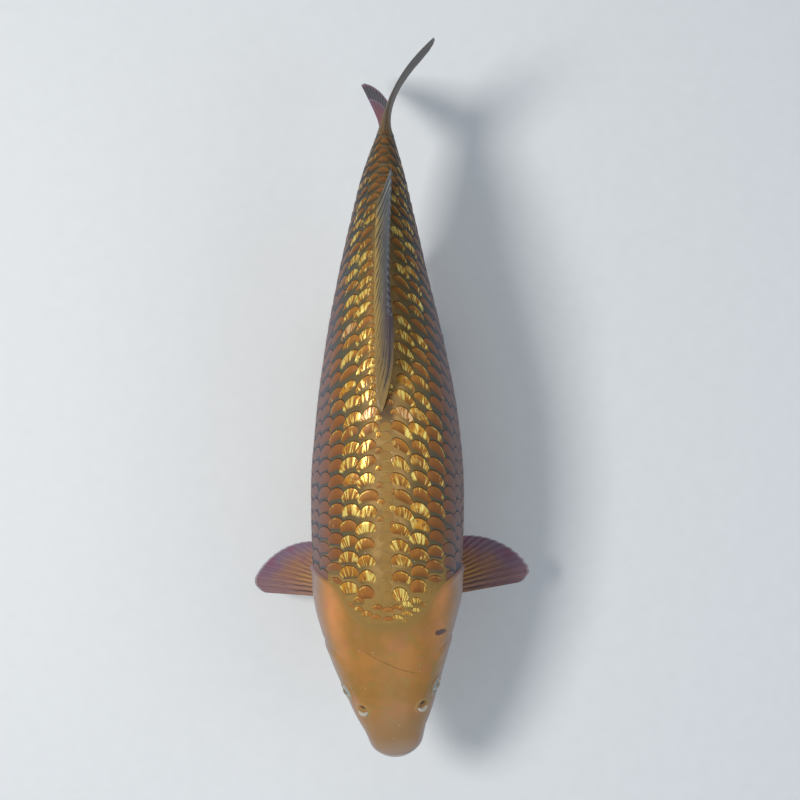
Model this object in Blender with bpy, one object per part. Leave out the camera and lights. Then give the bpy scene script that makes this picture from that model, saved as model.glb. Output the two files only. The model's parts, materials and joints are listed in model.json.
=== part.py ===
"""A koi carp as a life-size display model: it swims with its head slightly turned, its dorsal fin
folded and its tail flicking to one side, and two short rods hold it over a flat base.

Metres, +Z up. The snout points to -Y and the fish's own left side is +X. The origin is the middle
of the stand's underside. On the body, a place is given by its distance from the snout tip along the
spine and by its angle round the section, from 0 on the back through 90 on the fish's left side to
180 under the belly, with negative angles on its right side.
"""

import bisect
import math

import bmesh
import bpy
from mathutils import Vector

# ------------------------------------------------------------------ driving dimensions
BODY_LENGTH = 0.622  # snout tip to the end of the tail stalk's flesh
SNOUT_Y = -0.294
AXIS_Z = 0.165  # height of the body's axis over the floor
GAP = 0.0004  # clearance between pieces that touch

# (distance from the snout, half width, height of the back, height of the belly), from the axis
SECTIONS = (
    (0.000, 0.0000, -0.022, -0.022),  # snout tip
    (0.012, 0.0245, -0.002, -0.038),  # lips
    (0.025, 0.0290, 0.010, -0.047),  # corners of the mouth
    (0.047, 0.0390, 0.025, -0.058),  # nostrils
    (0.072, 0.0480, 0.038, -0.068),  # eyes
    (0.100, 0.0580, 0.050, -0.076),
    (0.130, 0.0665, 0.061, -0.082),  # nape
    (0.175, 0.0750, 0.074, -0.088),  # rear of the gill covers
    (0.270, 0.0775, 0.090, -0.094),  # widest and deepest
    (0.345, 0.0715, 0.091, -0.091),  # front of the dorsal fin
    (0.420, 0.0592, 0.080, -0.076),
    (0.500, 0.0418, 0.060, -0.053),
    (0.560, 0.0280, 0.045, -0.040),
    (0.598, 0.0185, 0.039, -0.037),  # narrowest of the tail stalk
    (0.622, 0.0100, 0.036, -0.035),  # end of the flesh
)
HEAD_ROUNDNESS = 2.5  # superellipse exponent over the broad head: 2 is an ellipse
BACK_ROUNDNESS = 2.15
BELLY_ROUNDNESS = 2.3
HEAD_TURN = 0.0105  # the snout's offset to the fish's left
NECK = 0.155  # where that turn begins
TAIL_DRIFT = 0.0045  # the rear body's offset to the fish's right
TAIL_RETURN = 0.0020  # how much of it the tail stalk takes back

# Where the head ends: over the nape, at the gill covers' rear edges and under the throat
NAPE = 0.140
GILL_EDGE = 0.180
THROAT = 0.105
TRUNK_SPLIT = 0.350
STALK_SPLIT = 0.500
ROUND = 32  # points round each section

GILL_COVER = ((0.165, -0.014), (0.050, 0.046))  # centre and radii of its ellipse, from the side
GILL_COVER_INSIDE = 0.055  # its flat inner face, from the middle
GAPE_FRONT = (-0.020, -0.0235)
GAPE_CORNER = (0.030, -0.0310)
JAW_HEEL = (0.062, -0.064)

EYE_RADIUS = 0.0095
EYE_PLACE = (0.073, 66)
EYE_PROUD = 0.0028  # how far it stands out of the head

DORSAL_BASE = (0.354, 0.553)
DORSAL_ANGLES = (-1, -6)  # its root drifts to the fish's right of the back's middle
ANAL_BASE = (0.462, 0.506)
PELVIC_BASE = (0.334, 0.352)
PECTORAL_BASE = (0.155, 0.180)
PECTORAL_LENGTH = 0.103
PECTORAL_LONGEST = 0.25  # which of its rays is the longest, from the leading one at 0
PELVIC_LENGTH = 0.068
ANAL_LENGTH = 0.058
FIN_LIFT = 0.0011  # start of a fin off the body's surface

# Each lobe's farthest ray end from its root: sideways, back and up
UPPER_LOBE = Vector((0.0490, 0.0812, 0.072))
LOWER_LOBE = Vector((-0.0265, 0.0720, -0.079))
FORK = Vector((0.004, 0.033, 0.0))
LOBE_BLUNT = (0.030, 0.14)  # share by which a lobe's first rays fall short, and how many of them do
TAIL_ROOT = 0.0160  # the tail fin's thickness in the middle of its root

BASE_SIZE = Vector((0.120, 0.300, 0.012))
BASE_CORNER = 0.022
ROD_RADIUS = 0.006
ROD_FOOT = (0.014, 0.003)  # radius and height of the collar at its foot
RODS = {"front": -0.085, "rear": 0.100}

SIDES = {"left": 1, "right": -1}

for old in list(bpy.data.objects):
    bpy.data.objects.remove(old, do_unlink=True)


# ------------------------------------------------------------------ materials and meshes
def linear(level):
    return ((level + 0.055) / 1.055) ** 2.4 if level > 0.04045 else level / 12.92


def material(name, colour, roughness, metallic=0.0):
    made = bpy.data.materials.new(name)
    made.use_nodes = True
    shader = made.node_tree.nodes["Principled BSDF"]
    shader.inputs["Base Color"].default_value = (*map(linear, colour), 1)
    shader.inputs["Roughness"].default_value = roughness
    shader.inputs["Metallic"].default_value = metallic
    return made


HEAD_SKIN = material("head skin", (0.66, 0.47, 0.26), 0.35)
SCALED_SKIN = material("scaled skin", (0.58, 0.42, 0.22), 0.35, 0.2)
FIN_SKIN = material("fin skin", (0.62, 0.44, 0.34), 0.4)
DORSAL_SKIN = material("dorsal fin skin", (0.46, 0.42, 0.30), 0.4)
TAIL_SKIN = material("tail fin skin", (0.42, 0.36, 0.36), 0.4)
LIP_SKIN = material("lip skin", (0.72, 0.53, 0.40), 0.35)
EYE = material("eye", (0.10, 0.08, 0.06), 0.1)
BASE_FINISH = material("stand base", (0.12, 0.12, 0.13), 0.5)
ROD_FINISH = material("stand rod", (0.62, 0.63, 0.65), 0.3, 1.0)


def add(name, mesh, finish):
    """An object of this bmesh, with its faces pointing out."""
    bmesh.ops.recalc_face_normals(mesh, faces=mesh.faces)
    data = bpy.data.meshes.new(name)
    mesh.to_mesh(data)
    mesh.free()
    data.materials.append(finish)
    data.shade_smooth()
    data.set_sharp_from_angle(angle=math.radians(40))
    made = bpy.data.objects.new(name, data)
    bpy.context.collection.objects.link(made)
    return made


def loft(name, rings, ends, finish):
    """A closed solid through rings of points, each end a fan round its middle point."""
    mesh = bmesh.new()
    rows = [[mesh.verts.new(point) for point in ring] for ring in rings]
    for front, rear in zip(rows, rows[1:]):
        for i in range(len(front)):
            before = i - 1
            mesh.faces.new((front[before], front[i], rear[i], rear[before]))
    for row, end in ((rows[0], ends[0]), (rows[-1], ends[1])):
        middle = mesh.verts.new(end)
        for i in range(len(row)):
            mesh.faces.new((row[i - 1], row[i], middle))
    bmesh.ops.triangulate(mesh, faces=mesh.faces)
    return add(name, mesh, finish)


def cutter(name, mesh):
    made = add(name, mesh, BASE_FINISH)
    made.hide_render = True
    made.display_type = "WIRE"
    return made


def boolean(part, tool, operation):
    modifier = part.modifiers.new(f"{operation} {tool.name}", "BOOLEAN")
    modifier.operation = operation
    modifier.object = tool


def prism(name, outline, near, far):
    """A cutter: this outline (distance from the snout, height from the axis), from near to far in X."""
    mesh = bmesh.new()
    corners = [mesh.verts.new((near, SNOUT_Y + s, AXIS_Z + z)) for s, z in outline]
    face = mesh.faces.new(corners)
    pushed = bmesh.ops.extrude_face_region(mesh, geom=[face])["geom"]
    verts = [item for item in pushed if isinstance(item, bmesh.types.BMVert)]
    bmesh.ops.translate(mesh, verts=verts, vec=(far - near, 0, 0))
    return cutter(name, mesh)


def grown(outline, by):
    """This anticlockwise convex outline with each side moved out."""
    moved = []
    for i, corner in enumerate(outline):
        sides = [
            Vector((b[1] - a[1], a[0] - b[0])).normalized()
            for a, b in ((outline[i - 1], corner), (corner, outline[(i + 1) % len(outline)]))
        ]
        moved.append(Vector(corner) + (sides[0] + sides[1]) * by / (1 + sides[0].dot(sides[1])))
    return moved


# ------------------------------------------------------------------ the body's surface
def smooth(value, start, end):
    part = min(max((value - start) / (end - start), 0), 1)
    return part * part * (3 - 2 * part)


def through(xs, ys):
    """A smooth curve through these points that never overshoots them."""
    steps = [(y1 - y0) / (x1 - x0) for x0, x1, y0, y1 in zip(xs, xs[1:], ys, ys[1:])]
    middle = [2 * a * b / (a + b) if a * b > 0 else 0 for a, b in zip(steps, steps[1:])]
    slopes = [steps[0], *middle, steps[-1]]

    def curve(x):
        i = min(max(bisect.bisect_right(xs, x) - 1, 0), len(xs) - 2)
        width = xs[i + 1] - xs[i]
        part = (x - xs[i]) / width
        blend = part * part * (3 - 2 * part)
        start = slopes[i] * width * part * (1 - part) ** 2
        end = slopes[i + 1] * width * part * part * (part - 1)
        return ys[i] + (ys[i + 1] - ys[i]) * blend + start + end

    return curve


# The curves run on the root of the distance, which makes the snout round.
ROOTS = [math.sqrt(row[0]) for row in SECTIONS]
HALF_WIDTH, BACK, BELLY = (through(ROOTS, [row[k] for row in SECTIONS]) for k in (1, 2, 3))


def spine(s):
    turn = HEAD_TURN * max(1 - s / NECK, 0) ** 1.5
    drift = TAIL_DRIFT * smooth(s, 0.30, 0.50) - TAIL_RETURN * max((s - 0.54) / 0.08, 0) ** 2
    return Vector((turn - drift, SNOUT_Y + s, AXIS_Z))


def across(s):
    """The way to the fish's left, square to the spine."""
    ahead = spine(s + 0.001) - spine(s - 0.001)
    return Vector((ahead.y, -ahead.x, 0)).normalized()


def surface(s, degrees, out=0.0):
    """A point of the body's surface, or one this far outside it."""
    angle = math.radians(degrees)
    half, top, bottom = (curve(math.sqrt(s)) for curve in (HALF_WIDTH, BACK, BELLY))
    middle = (top + bottom) / 2
    over = HEAD_ROUNDNESS + (BACK_ROUNDNESS - HEAD_ROUNDNESS) * smooth(s, 0.08, 0.22)
    power = 2 / (over if math.cos(angle) > 0 else BELLY_ROUNDNESS)
    side = half * math.copysign(abs(math.sin(angle)) ** power, math.sin(angle))
    up = (top - bottom) / 2 * math.copysign(abs(math.cos(angle)) ** power, math.cos(angle))
    point = spine(s) + across(s) * side + Vector((0, 0, middle + up))
    return point + outward(s, degrees) * out if out else point


def outward(s, degrees):
    """The surface's normal."""
    along = surface(s + 0.002, degrees) - surface(max(s - 0.002, 0), degrees)
    round_it = surface(s, degrees + 2) - surface(s, degrees - 2)
    return round_it.cross(along).normalized()


def head_end(degrees):
    """Where the head meets the trunk at this angle round the body."""
    angle = math.radians(degrees)
    start = NAPE if math.cos(angle) > 0 else THROAT
    return start + (GILL_EDGE - start) * abs(math.sin(angle)) ** 1.3


def angles():
    return [360 * i / ROUND for i in range(ROUND)]


def length_of_body(name, front, rear, steps, finish, crowd=1.0):
    """The body between two edges, each a function of the angle, with steps crowding to the front."""
    rings = []
    for step in range(steps + 1):
        part = (step / steps) ** crowd
        ring = [surface(front(a) + (rear(a) - front(a)) * part, a) for a in angles()]
        rings.append(ring)
    ends = []
    for edge, ring in ((front, rings[0]), (rear, rings[-1])):
        depth = sum(edge(a) for a in angles()) / ROUND
        middle = spine(depth)
        middle.z = sum(point.z for point in ring) / ROUND
        ends.append(middle)
    return loft(name, rings, ends, finish)


def whole_head(name, finish):
    front = 0.0006
    return length_of_body(name, lambda a: front, head_end, 20, finish, crowd=1.7)


# ------------------------------------------------------------------ head
def ellipse(centre, radii, grow=0.0, points=28):
    turns = [2 * math.pi * i / points for i in range(points)]
    return [
        (centre[0] + (radii[0] + grow) * math.cos(t), centre[1] + (radii[1] + grow) * math.sin(t))
        for t in turns
    ]


def ball(centre, radius):
    mesh = bmesh.new()
    bmesh.ops.create_uvsphere(mesh, u_segments=20, v_segments=12, radius=radius)
    bmesh.ops.translate(mesh, verts=mesh.verts, vec=centre)
    return mesh


head = whole_head("head", HEAD_SKIN)
FAR = 0.12  # past the head on every side

jaw_outline = [GAPE_FRONT, (GAPE_FRONT[0], -FAR), (JAW_HEEL[0], -FAR), JAW_HEEL, GAPE_CORNER]
jaw = whole_head("lower_jaw", LIP_SKIN)
boolean(jaw, prism("jaw shape", jaw_outline, -FAR, FAR), "INTERSECT")
boolean(head, prism("jaw room", grown(jaw_outline, GAP), -FAR, FAR), "DIFFERENCE")

LIP_REAR = 0.028
lip_outline = [
    (GAPE_FRONT[0], GAPE_FRONT[1] + GAP),
    (LIP_REAR, GAPE_CORNER[1] + GAP),
    (0.014, -0.002),
    (GAPE_FRONT[0], 0.010),
]
lip = whole_head("upper_lip", LIP_SKIN)
boolean(lip, prism("lip shape", lip_outline, -FAR, FAR), "INTERSECT")
boolean(head, prism("lip room", grown(lip_outline, GAP), -FAR, FAR), "DIFFERENCE")

for side, sign in SIDES.items():
    cover = whole_head(f"gill_cover_{side}", HEAD_SKIN)
    shape = prism(f"cover shape {side}", ellipse(*GILL_COVER), sign * GILL_COVER_INSIDE, sign * FAR)
    room_inside = sign * (GILL_COVER_INSIDE - GAP)
    room = prism(f"cover room {side}", ellipse(*GILL_COVER, GAP), room_inside, sign * FAR)
    boolean(cover, shape, "INTERSECT")
    boolean(head, room, "DIFFERENCE")

    eye_s, eye_angle = EYE_PLACE
    centre = surface(eye_s, sign * eye_angle, EYE_PROUD - EYE_RADIUS)
    boolean(head, cutter(f"socket {side}", ball(centre, EYE_RADIUS + GAP)), "DIFFERENCE")
    add(f"eye_{side}", ball(centre, EYE_RADIUS), EYE)


# ------------------------------------------------------------------ barbels
BARBEL_SPREAD = 0.28  # how far they lean out from the lip before they hang
BARBEL_CLEAR = 0.0012  # gap between the lip and the root's middle


def barbel(name, place, length, thick):
    """A soft feeler that leaves the lip and hangs back and down, tapering."""
    root = surface(*place, BARBEL_CLEAR)
    out = outward(*place)
    hang = Vector((0, 0.10, -1)).normalized()
    rings = []
    for step in range(7):
        v = step / 6
        centre = root + (out * (v - 0.5 * v * v) * BARBEL_SPREAD + hang * v * (0.4 + 0.5 * v)) * length
        ahead = (out * (1 - v) * BARBEL_SPREAD + hang * (0.4 + v)).normalized()
        side = ahead.orthogonal().normalized()
        radius = thick * (1 - 0.65 * v)
        turns = [math.pi * i / 4 for i in range(8)]
        up = ahead.cross(side)
        rings.append([centre + (side * math.cos(t) + up * math.sin(t)) * radius for t in turns])
    loft(name, rings, (root, centre), LIP_SKIN)


for side, sign in SIDES.items():
    barbel(f"barbel_front_{side}", (0.010, sign * 98), 0.011, 0.0011)
    barbel(f"barbel_rear_{side}", (0.026, sign * 110), 0.022, 0.0016)


# ------------------------------------------------------------------ trunk and tail stalk
length_of_body("trunk_front", lambda a: head_end(a) + GAP * 1.4, lambda a: TRUNK_SPLIT, 11, SCALED_SKIN)
length_of_body("trunk_rear", lambda a: TRUNK_SPLIT + GAP, lambda a: STALK_SPLIT, 7, SCALED_SKIN)
length_of_body("tail_stalk", lambda a: STALK_SPLIT + GAP, lambda a: BODY_LENGTH, 8, SCALED_SKIN)


# ------------------------------------------------------------------ fins
def fin(name, point, rays, steps, root, margin, finish, root_way=None):
    """A solid sheet: point(u, v) is its middle, u across the rays and v from the root outwards.

    root is its thickness there, or a function of u. It lies along root_way where that is given.
    """
    small = 0.01
    mesh = bmesh.new()
    faces = {1: [], -1: []}
    for i in range(rays + 1):
        rows = {1: [], -1: []}
        for j in range(steps + 1):
            u = i / rays
            v = j / steps
            ahead = point(u, min(v + small, 1)) - point(u, max(v - small, 0))
            over = point(min(u + small, 1), v) - point(max(u - small, 0), v)
            thickness = ahead.cross(over).normalized()
            if root_way and v == 0:
                thickness = math.copysign(1, thickness.dot(root_way)) * root_way
            at_root = root(u) if callable(root) else root
            half = (margin + (at_root - margin) * (1 - v) ** 3) / 2
            for way, row in rows.items():
                row.append(mesh.verts.new(point(u, v) + thickness * half * way))
        for way, row in rows.items():
            faces[way].append(row)
    for grid in faces.values():
        for near, far in zip(grid, grid[1:]):
            for j in range(steps):
                mesh.faces.new((near[j], near[j + 1], far[j + 1], far[j]))
    edge = [(i, 0) for i in range(rays)] + [(rays, j) for j in range(steps)]
    edge += [(i, steps) for i in range(rays, 0, -1)] + [(0, j) for j in range(steps, 0, -1)]
    for a, b in zip(edge, edge[1:] + edge[:1]):
        corners = (faces[1][a[0]][a[1]], faces[1][b[0]][b[1]], faces[-1][b[0]][b[1]], faces[-1][a[0]][a[1]])
        mesh.faces.new(corners)
    bmesh.ops.triangulate(mesh, faces=mesh.faces)
    return add(name, mesh, finish)


def fan(base, angles_round, lead, trail, length, spread, drift=1.0, bow=Vector()):
    """Rays from along the body's surface that turn from the lead direction to the trailing one.

    drift under 1 takes the root to its last angle early, and bow bends the first rays.
    """

    def point(u, v):
        s = base[0] + (base[1] - base[0]) * u
        start = surface(s, angles_round[0] + (angles_round[1] - angles_round[0]) * u**drift, FIN_LIFT)
        way = lead.slerp(trail, u**spread)
        return start + way * length(u) * v + bow * (1 - u) ** 4 * 4 * v * (1 - v)

    return point


def dorsal_length(u):
    return 0.034 + 0.056 * (1 - u) ** 2.6


def dorsal_way(rise, lean):
    """The way of a ray that rises this steeply from the back and leans over to the fish's left."""
    lean = math.radians(lean)
    over = Vector((math.sin(lean), 0, math.cos(lean)))
    return Vector((0, math.cos(math.radians(rise)), 0)) + over * math.sin(math.radians(rise))


DORSAL_BOW = Vector((0.005, 0, 0.004))
dorsal_ways = dorsal_way(17, 16), dorsal_way(24, 62)
dorsal = fan(DORSAL_BASE, DORSAL_ANGLES, *dorsal_ways, dorsal_length, 0.8, drift=0.3, bow=DORSAL_BOW)
fin("fin_dorsal", dorsal, 26, 4, 0.0022, 0.0010, DORSAL_SKIN)

anal_lead = Vector((0.05, 0.62, -0.78)).normalized()
anal_trail = Vector((0.02, 0.93, -0.36)).normalized()
anal = fan(ANAL_BASE, (180, 180), anal_lead, anal_trail, lambda u: ANAL_LENGTH * (1 - 0.5 * u), 1.2)
fin("fin_anal", anal, 8, 4, 0.0020, 0.0010, FIN_SKIN)

# How each pectoral fin is held: degrees swept back and degrees drooping
PECTORAL_HELD = {"left": (9, 9), "right": (1, 25)}


def held(sign, sweep, droop):
    sweep, droop = math.radians(sweep), math.radians(droop)
    level = math.cos(droop)
    return Vector((sign * math.cos(sweep) * level, math.sin(sweep) * level, -math.sin(droop)))


def pectoral_length(u):
    before = max(1 - u / PECTORAL_LONGEST, 0)
    after = max(u - PECTORAL_LONGEST, 0)
    return PECTORAL_LENGTH * (1 - 0.136 * before**1.6 - 1.05 * after**1.7)


def pelvic_length(u):
    return PELVIC_LENGTH * (1 - 0.45 * u * u - 0.05 * max(1 - u / 0.2, 0) ** 2)


for side, sign in SIDES.items():
    sweep, droop = PECTORAL_HELD[side]
    ways = held(sign, sweep, droop), held(sign, sweep + 52, droop * 0.6)
    pectoral = fan(PECTORAL_BASE, (sign * 140, sign * 150), *ways, pectoral_length, 2.0)
    fin(f"fin_pectoral_{side}", pectoral, 14, 5, 0.0024, 0.0010, FIN_SKIN)

    ways = held(sign, 60, 34), held(sign, 88, 20)
    pelvic = fan(PELVIC_BASE, (sign * 150, sign * 160), *ways, pelvic_length, 1.3)
    fin(f"fin_pelvic_{side}", pelvic, 9, 4, 0.0022, 0.0010, FIN_SKIN)


def tail_ray(u, v):
    """The tail fin's sheet, from its top ray at u = 0 through the fork to its lowest at u = 1."""
    lobe, reach = (UPPER_LOBE, 1 - 2 * u) if u < 0.5 else (LOWER_LOBE, 2 * u - 1)
    top, bottom = BACK(math.sqrt(BODY_LENGTH)), BELLY(math.sqrt(BODY_LENGTH))
    root = spine(BODY_LENGTH) + Vector((0, GAP, (top + (bottom - top) * u) * 0.97))
    tip = Vector(
        (
            FORK.x + (lobe.x - FORK.x) * reach**1.25,
            FORK.y + (lobe.y - FORK.y) * (1 - (1 - reach) ** 1.35),
            lobe.z * reach**1.1,
        )
    )
    short, rays_short = LOBE_BLUNT
    tip *= 1 - short * max(1 - (1 - reach) / rays_short, 0) ** 2
    return root + Vector((tip.x * v**1.22, tip.y * v, tip.z * v**0.9))


LOBES_PARTED = 0.003  # half of the cut between the lobes, across the rays


def upper(u, v):
    return tail_ray((0.5 - LOBES_PARTED) * u, v)


def lower(u, v):
    return tail_ray(0.5 + LOBES_PARTED + (0.5 - LOBES_PARTED) * u, v)


def upper_root(u):
    return TAIL_ROOT * (1 - 0.6 * (1 - u) ** 3)


def lower_root(u):
    return TAIL_ROOT * (1 - 0.6 * u**3)


stalk_width = across(BODY_LENGTH)
fin("fin_caudal_upper", upper, 11, 7, upper_root, 0.0010, TAIL_SKIN, stalk_width)
fin("fin_caudal_lower", lower, 11, 7, lower_root, 0.0010, TAIL_SKIN, stalk_width)


# ------------------------------------------------------------------ stand
def rounded(half_x, half_y, radius, height, points=6):
    corners = ((1, 1, 0), (-1, 1, 90), (-1, -1, 180), (1, -1, 270))
    outline = []
    for x, y, start in corners:
        for i in range(points + 1):
            turn = math.radians(start + 90 * i / points)
            centre = Vector((x * (half_x - radius), y * (half_y - radius), height))
            outline.append(centre + Vector((math.cos(turn), math.sin(turn), 0)) * radius)
    return outline


EDGE = 0.002  # bevel round the base's top
half_x, half_y, thick = BASE_SIZE.x / 2, BASE_SIZE.y / 2, BASE_SIZE.z
outlines = [
    rounded(half_x, half_y, BASE_CORNER, 0),
    rounded(half_x, half_y, BASE_CORNER, thick - EDGE),
    rounded(half_x - EDGE, half_y - EDGE, BASE_CORNER - EDGE, thick),
]
loft("stand_base", outlines, (Vector(), Vector((0, 0, thick))), BASE_FINISH)


def belly_over(x, y):
    """The height of the belly's surface over this place."""
    s = y - SNOUT_Y
    half = HALF_WIDTH(math.sqrt(s))
    reach = min(abs(x - spine(s).x) / half, 1)
    angle = 180 - math.degrees(math.asin(reach ** (BELLY_ROUNDNESS / 2)))
    return surface(s, angle).z


for where, y in RODS.items():
    turns = [2 * math.pi * i / 18 for i in range(18)]
    foot_radius, foot_height = ROD_FOOT
    collar_top = thick + foot_height
    levels = ((foot_radius, thick + GAP), (foot_radius, collar_top), (ROD_RADIUS, collar_top))
    rings = [[Vector((math.cos(t) * r, y + math.sin(t) * r, z)) for t in turns] for r, z in levels]
    top = [Vector((math.cos(t) * ROD_RADIUS, y + math.sin(t) * ROD_RADIUS, 0)) for t in turns]
    for point in top:
        point.z = belly_over(point.x, point.y) - GAP
    rings.append(top)
    ends = (Vector((0, y, thick + GAP)), Vector((0, y, belly_over(0, y) - GAP)))
    loft(f"stand_rod_{where}", rings, ends, ROD_FINISH)
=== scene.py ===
"""The finish of a life-size koi carp display model: skin, scales, fins, eyes and stand.

Metres, +Z up, with the snout to -Y and the fish's own left side at +X. A place on the body is given
by its distance from the snout tip, called along, and by its share of the way round from the back at
0 to the middle of the belly at 1 on the left side or -1 on the right, called round.
"""

import json
import math

import bpy
import numpy as np
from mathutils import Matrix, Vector
from mathutils.bvhtree import BVHTree

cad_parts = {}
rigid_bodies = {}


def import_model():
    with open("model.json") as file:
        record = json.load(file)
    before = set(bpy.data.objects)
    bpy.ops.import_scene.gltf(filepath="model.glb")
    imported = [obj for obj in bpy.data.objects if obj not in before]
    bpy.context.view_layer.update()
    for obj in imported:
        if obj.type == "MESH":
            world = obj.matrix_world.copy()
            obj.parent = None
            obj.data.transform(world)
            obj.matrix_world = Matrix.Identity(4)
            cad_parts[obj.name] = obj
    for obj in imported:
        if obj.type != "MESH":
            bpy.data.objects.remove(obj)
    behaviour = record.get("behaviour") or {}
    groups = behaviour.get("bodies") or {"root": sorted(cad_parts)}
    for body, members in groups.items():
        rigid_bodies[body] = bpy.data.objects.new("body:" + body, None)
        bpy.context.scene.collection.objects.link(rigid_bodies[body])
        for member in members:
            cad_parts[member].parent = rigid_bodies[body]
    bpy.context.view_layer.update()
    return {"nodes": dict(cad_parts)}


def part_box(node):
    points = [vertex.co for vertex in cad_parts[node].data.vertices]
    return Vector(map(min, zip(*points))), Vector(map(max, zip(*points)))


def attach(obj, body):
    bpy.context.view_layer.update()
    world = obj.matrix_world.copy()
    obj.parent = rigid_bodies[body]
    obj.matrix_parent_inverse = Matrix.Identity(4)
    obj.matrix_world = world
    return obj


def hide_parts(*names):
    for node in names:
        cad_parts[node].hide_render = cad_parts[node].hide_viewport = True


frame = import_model()

# ------------------------------------------------------------------ camera, floor and lamps
# The fish is looked at from straight above, as one looks down at a koi in its bowl, over a plain
# pale floor. A strong warm lamp stands to the fish's right, with weaker, wider and cooler ones round it.
AXIS_Z = 0.165  # height of the body's axis over the floor
VIEW_CENTRE = (0.0125, 0.065)
VIEW_HEIGHT = 1.9  # of the camera over the body's axis
VIEW_WIDTH = 0.8  # seen at the body's axis
SENSOR = 36
SKY = (0.84, 0.92, 1.0, 1)
SKY_STRENGTH = 0.34
WARM, COOL = (1.0, 0.98, 0.94), (0.82, 0.91, 1.0)

scene = bpy.context.scene
scene.view_settings.view_transform = "Standard"
for old in [item for item in scene.objects if item.name in ("Cube", "Light", "Camera")]:
    bpy.data.objects.remove(old, do_unlink=True)
camera = bpy.data.objects.new("camera", bpy.data.cameras.new("camera"))
camera.data.sensor_width = SENSOR
camera.data.lens = SENSOR * VIEW_HEIGHT / VIEW_WIDTH
camera.location = (*VIEW_CENTRE, AXIS_Z + VIEW_HEIGHT)
scene.collection.objects.link(camera)
scene.camera = camera

world = bpy.data.worlds.new("studio")
world.use_nodes = True
world.node_tree.nodes["Background"].inputs["Color"].default_value = SKY
world.node_tree.nodes["Background"].inputs["Strength"].default_value = SKY_STRENGTH
scene.world = world

# Place, side of the square lamp, power and colour
LAMPS = {
    "key": ((-1.0, 0.1, 1.85), 0.5, 24, WARM),
    "fill": ((1.3, -0.2, 1.3), 1.2, 4.2, COOL),
    "front": ((0.2, -1.6, 1.0), 1.0, 3.0, COOL),
    "rear": ((-0.2, 1.8, 1.2), 1.0, 3.0, COOL),
}
for name, (place, size, power, tint) in LAMPS.items():
    lamp = bpy.data.objects.new(f"lamp_{name}", bpy.data.lights.new(f"lamp_{name}", "AREA"))
    lamp.data.size = size
    lamp.data.energy = power
    lamp.data.color = tint
    lamp.location = place
    lamp.rotation_euler = (Vector((0, 0, AXIS_Z)) - lamp.location).to_track_quat("-Z", "Y").to_euler()
    lamp.visible_camera = False
    scene.collection.objects.link(lamp)


class Wire:
    """A socket of a node tree. Arithmetic on it adds Math nodes, and node() adds any other node."""

    def __init__(self, tree, socket=None):
        self.tree = tree
        self.socket = socket

    def node(self, kind, settings=None, sockets=None, out=0):
        """An output of a new node, whose settings are set first and then its sockets."""
        made = self.tree.nodes.new(kind)
        for name, value in (settings or {}).items():
            setattr(made, name, value)
        for name, value in (sockets or {}).items():
            if isinstance(value, Wire):
                self.tree.links.new(value.socket, made.inputs[name])
            else:
                made.inputs[name].default_value = value
        return Wire(self.tree, made.outputs[out])

    def math(self, operation, *values):
        return self.node("ShaderNodeMath", {"operation": operation}, dict(enumerate(values)))

    def __add__(self, other):
        return self.math("ADD", self, other)

    def __sub__(self, other):
        return self.math("SUBTRACT", self, other)

    def __rsub__(self, other):
        return self.math("SUBTRACT", other, self)

    def __mul__(self, other):
        return self.math("MULTIPLY", self, other)

    def __truediv__(self, other):
        return self.math("DIVIDE", self, other)

    def __pow__(self, other):
        return self.math("POWER", self, other)

    __radd__ = __add__
    __rmul__ = __mul__

    def size(self):
        return self.math("ABSOLUTE", self)

    def rise(self, start, end):
        """0 up to start and 1 from end, or the other way where start is the larger."""
        settings = {"interpolation_type": "SMOOTHSTEP"}
        return self.node("ShaderNodeMapRange", settings, {0: self, 1: start, 2: end})

    def near(self, middle, width):
        """1 at the middle, falling to 0 this far either side."""
        return (self - middle).size().rise(width, 0)

    def mix(self, first, second):
        """A colour from first, where this is 0, to second, where it is 1."""
        settings = {"data_type": "RGBA"}
        return self.node("ShaderNodeMix", settings, {0: self, 6: first, 7: second}, out=2)

    def own(self, name):
        """The piece's own attribute of this name."""
        return self.node("ShaderNodeAttribute", {"attribute_name": name}, out=2)

    def place(self):
        return self.node("ShaderNodeTexCoord", out=3)

    def parts(self):
        """X, Y and Z of the place on the model."""
        made = self.node("ShaderNodeSeparateXYZ", sockets={0: self.place()})
        return [Wire(self.tree, output) for output in made.socket.node.outputs]

    def joined(self, *parts):
        return self.node("ShaderNodeCombineXYZ", sockets=dict(enumerate(parts)))

    def noise(self, scale, detail=2.0, where=None, rough=0.5, twist=0.0):
        sockets = {"Scale": scale, "Detail": detail, "Roughness": rough, "Distortion": twist}
        sockets["Vector"] = where or self.place()
        return self.node("ShaderNodeTexNoise", sockets=sockets)

    def cells(self, scale, out=0):
        """How far the nearest of many strewn points is or, from output 1, that point's own colour."""
        return self.node("ShaderNodeTexVoronoi", sockets={"Scale": scale, "Vector": self.place()}, out=out)

    def relief(self, distance, strength=1.0):
        """A normal from this height, in units of distance."""
        sockets = {"Height": self, "Distance": distance, "Strength": strength}
        return self.node("ShaderNodeBump", sockets=sockets)


def colour(red, green, blue):
    """A colour from screen levels of 0 to 255."""
    levels = (level / 255 for level in (red, green, blue))
    return (*(((x + 0.055) / 1.055) ** 2.4 if x > 0.04045 else x / 12.92 for x in levels), 1)


def finish(name, paint, **fixed):
    """A material. paint(wire) gives the sockets that vary, and fixed holds those that don't."""
    made = bpy.data.materials.new(name)
    made.use_nodes = True
    shader = made.node_tree.nodes["Principled BSDF"]
    for socket, value in paint(Wire(made.node_tree)).items():
        if isinstance(value, Wire):
            made.node_tree.links.new(value.socket, shader.inputs[socket])
        else:
            shader.inputs[socket].default_value = value
    for socket, value in fixed.items():
        shader.inputs[socket.replace("_", " ")].default_value = value
    return made


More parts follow.
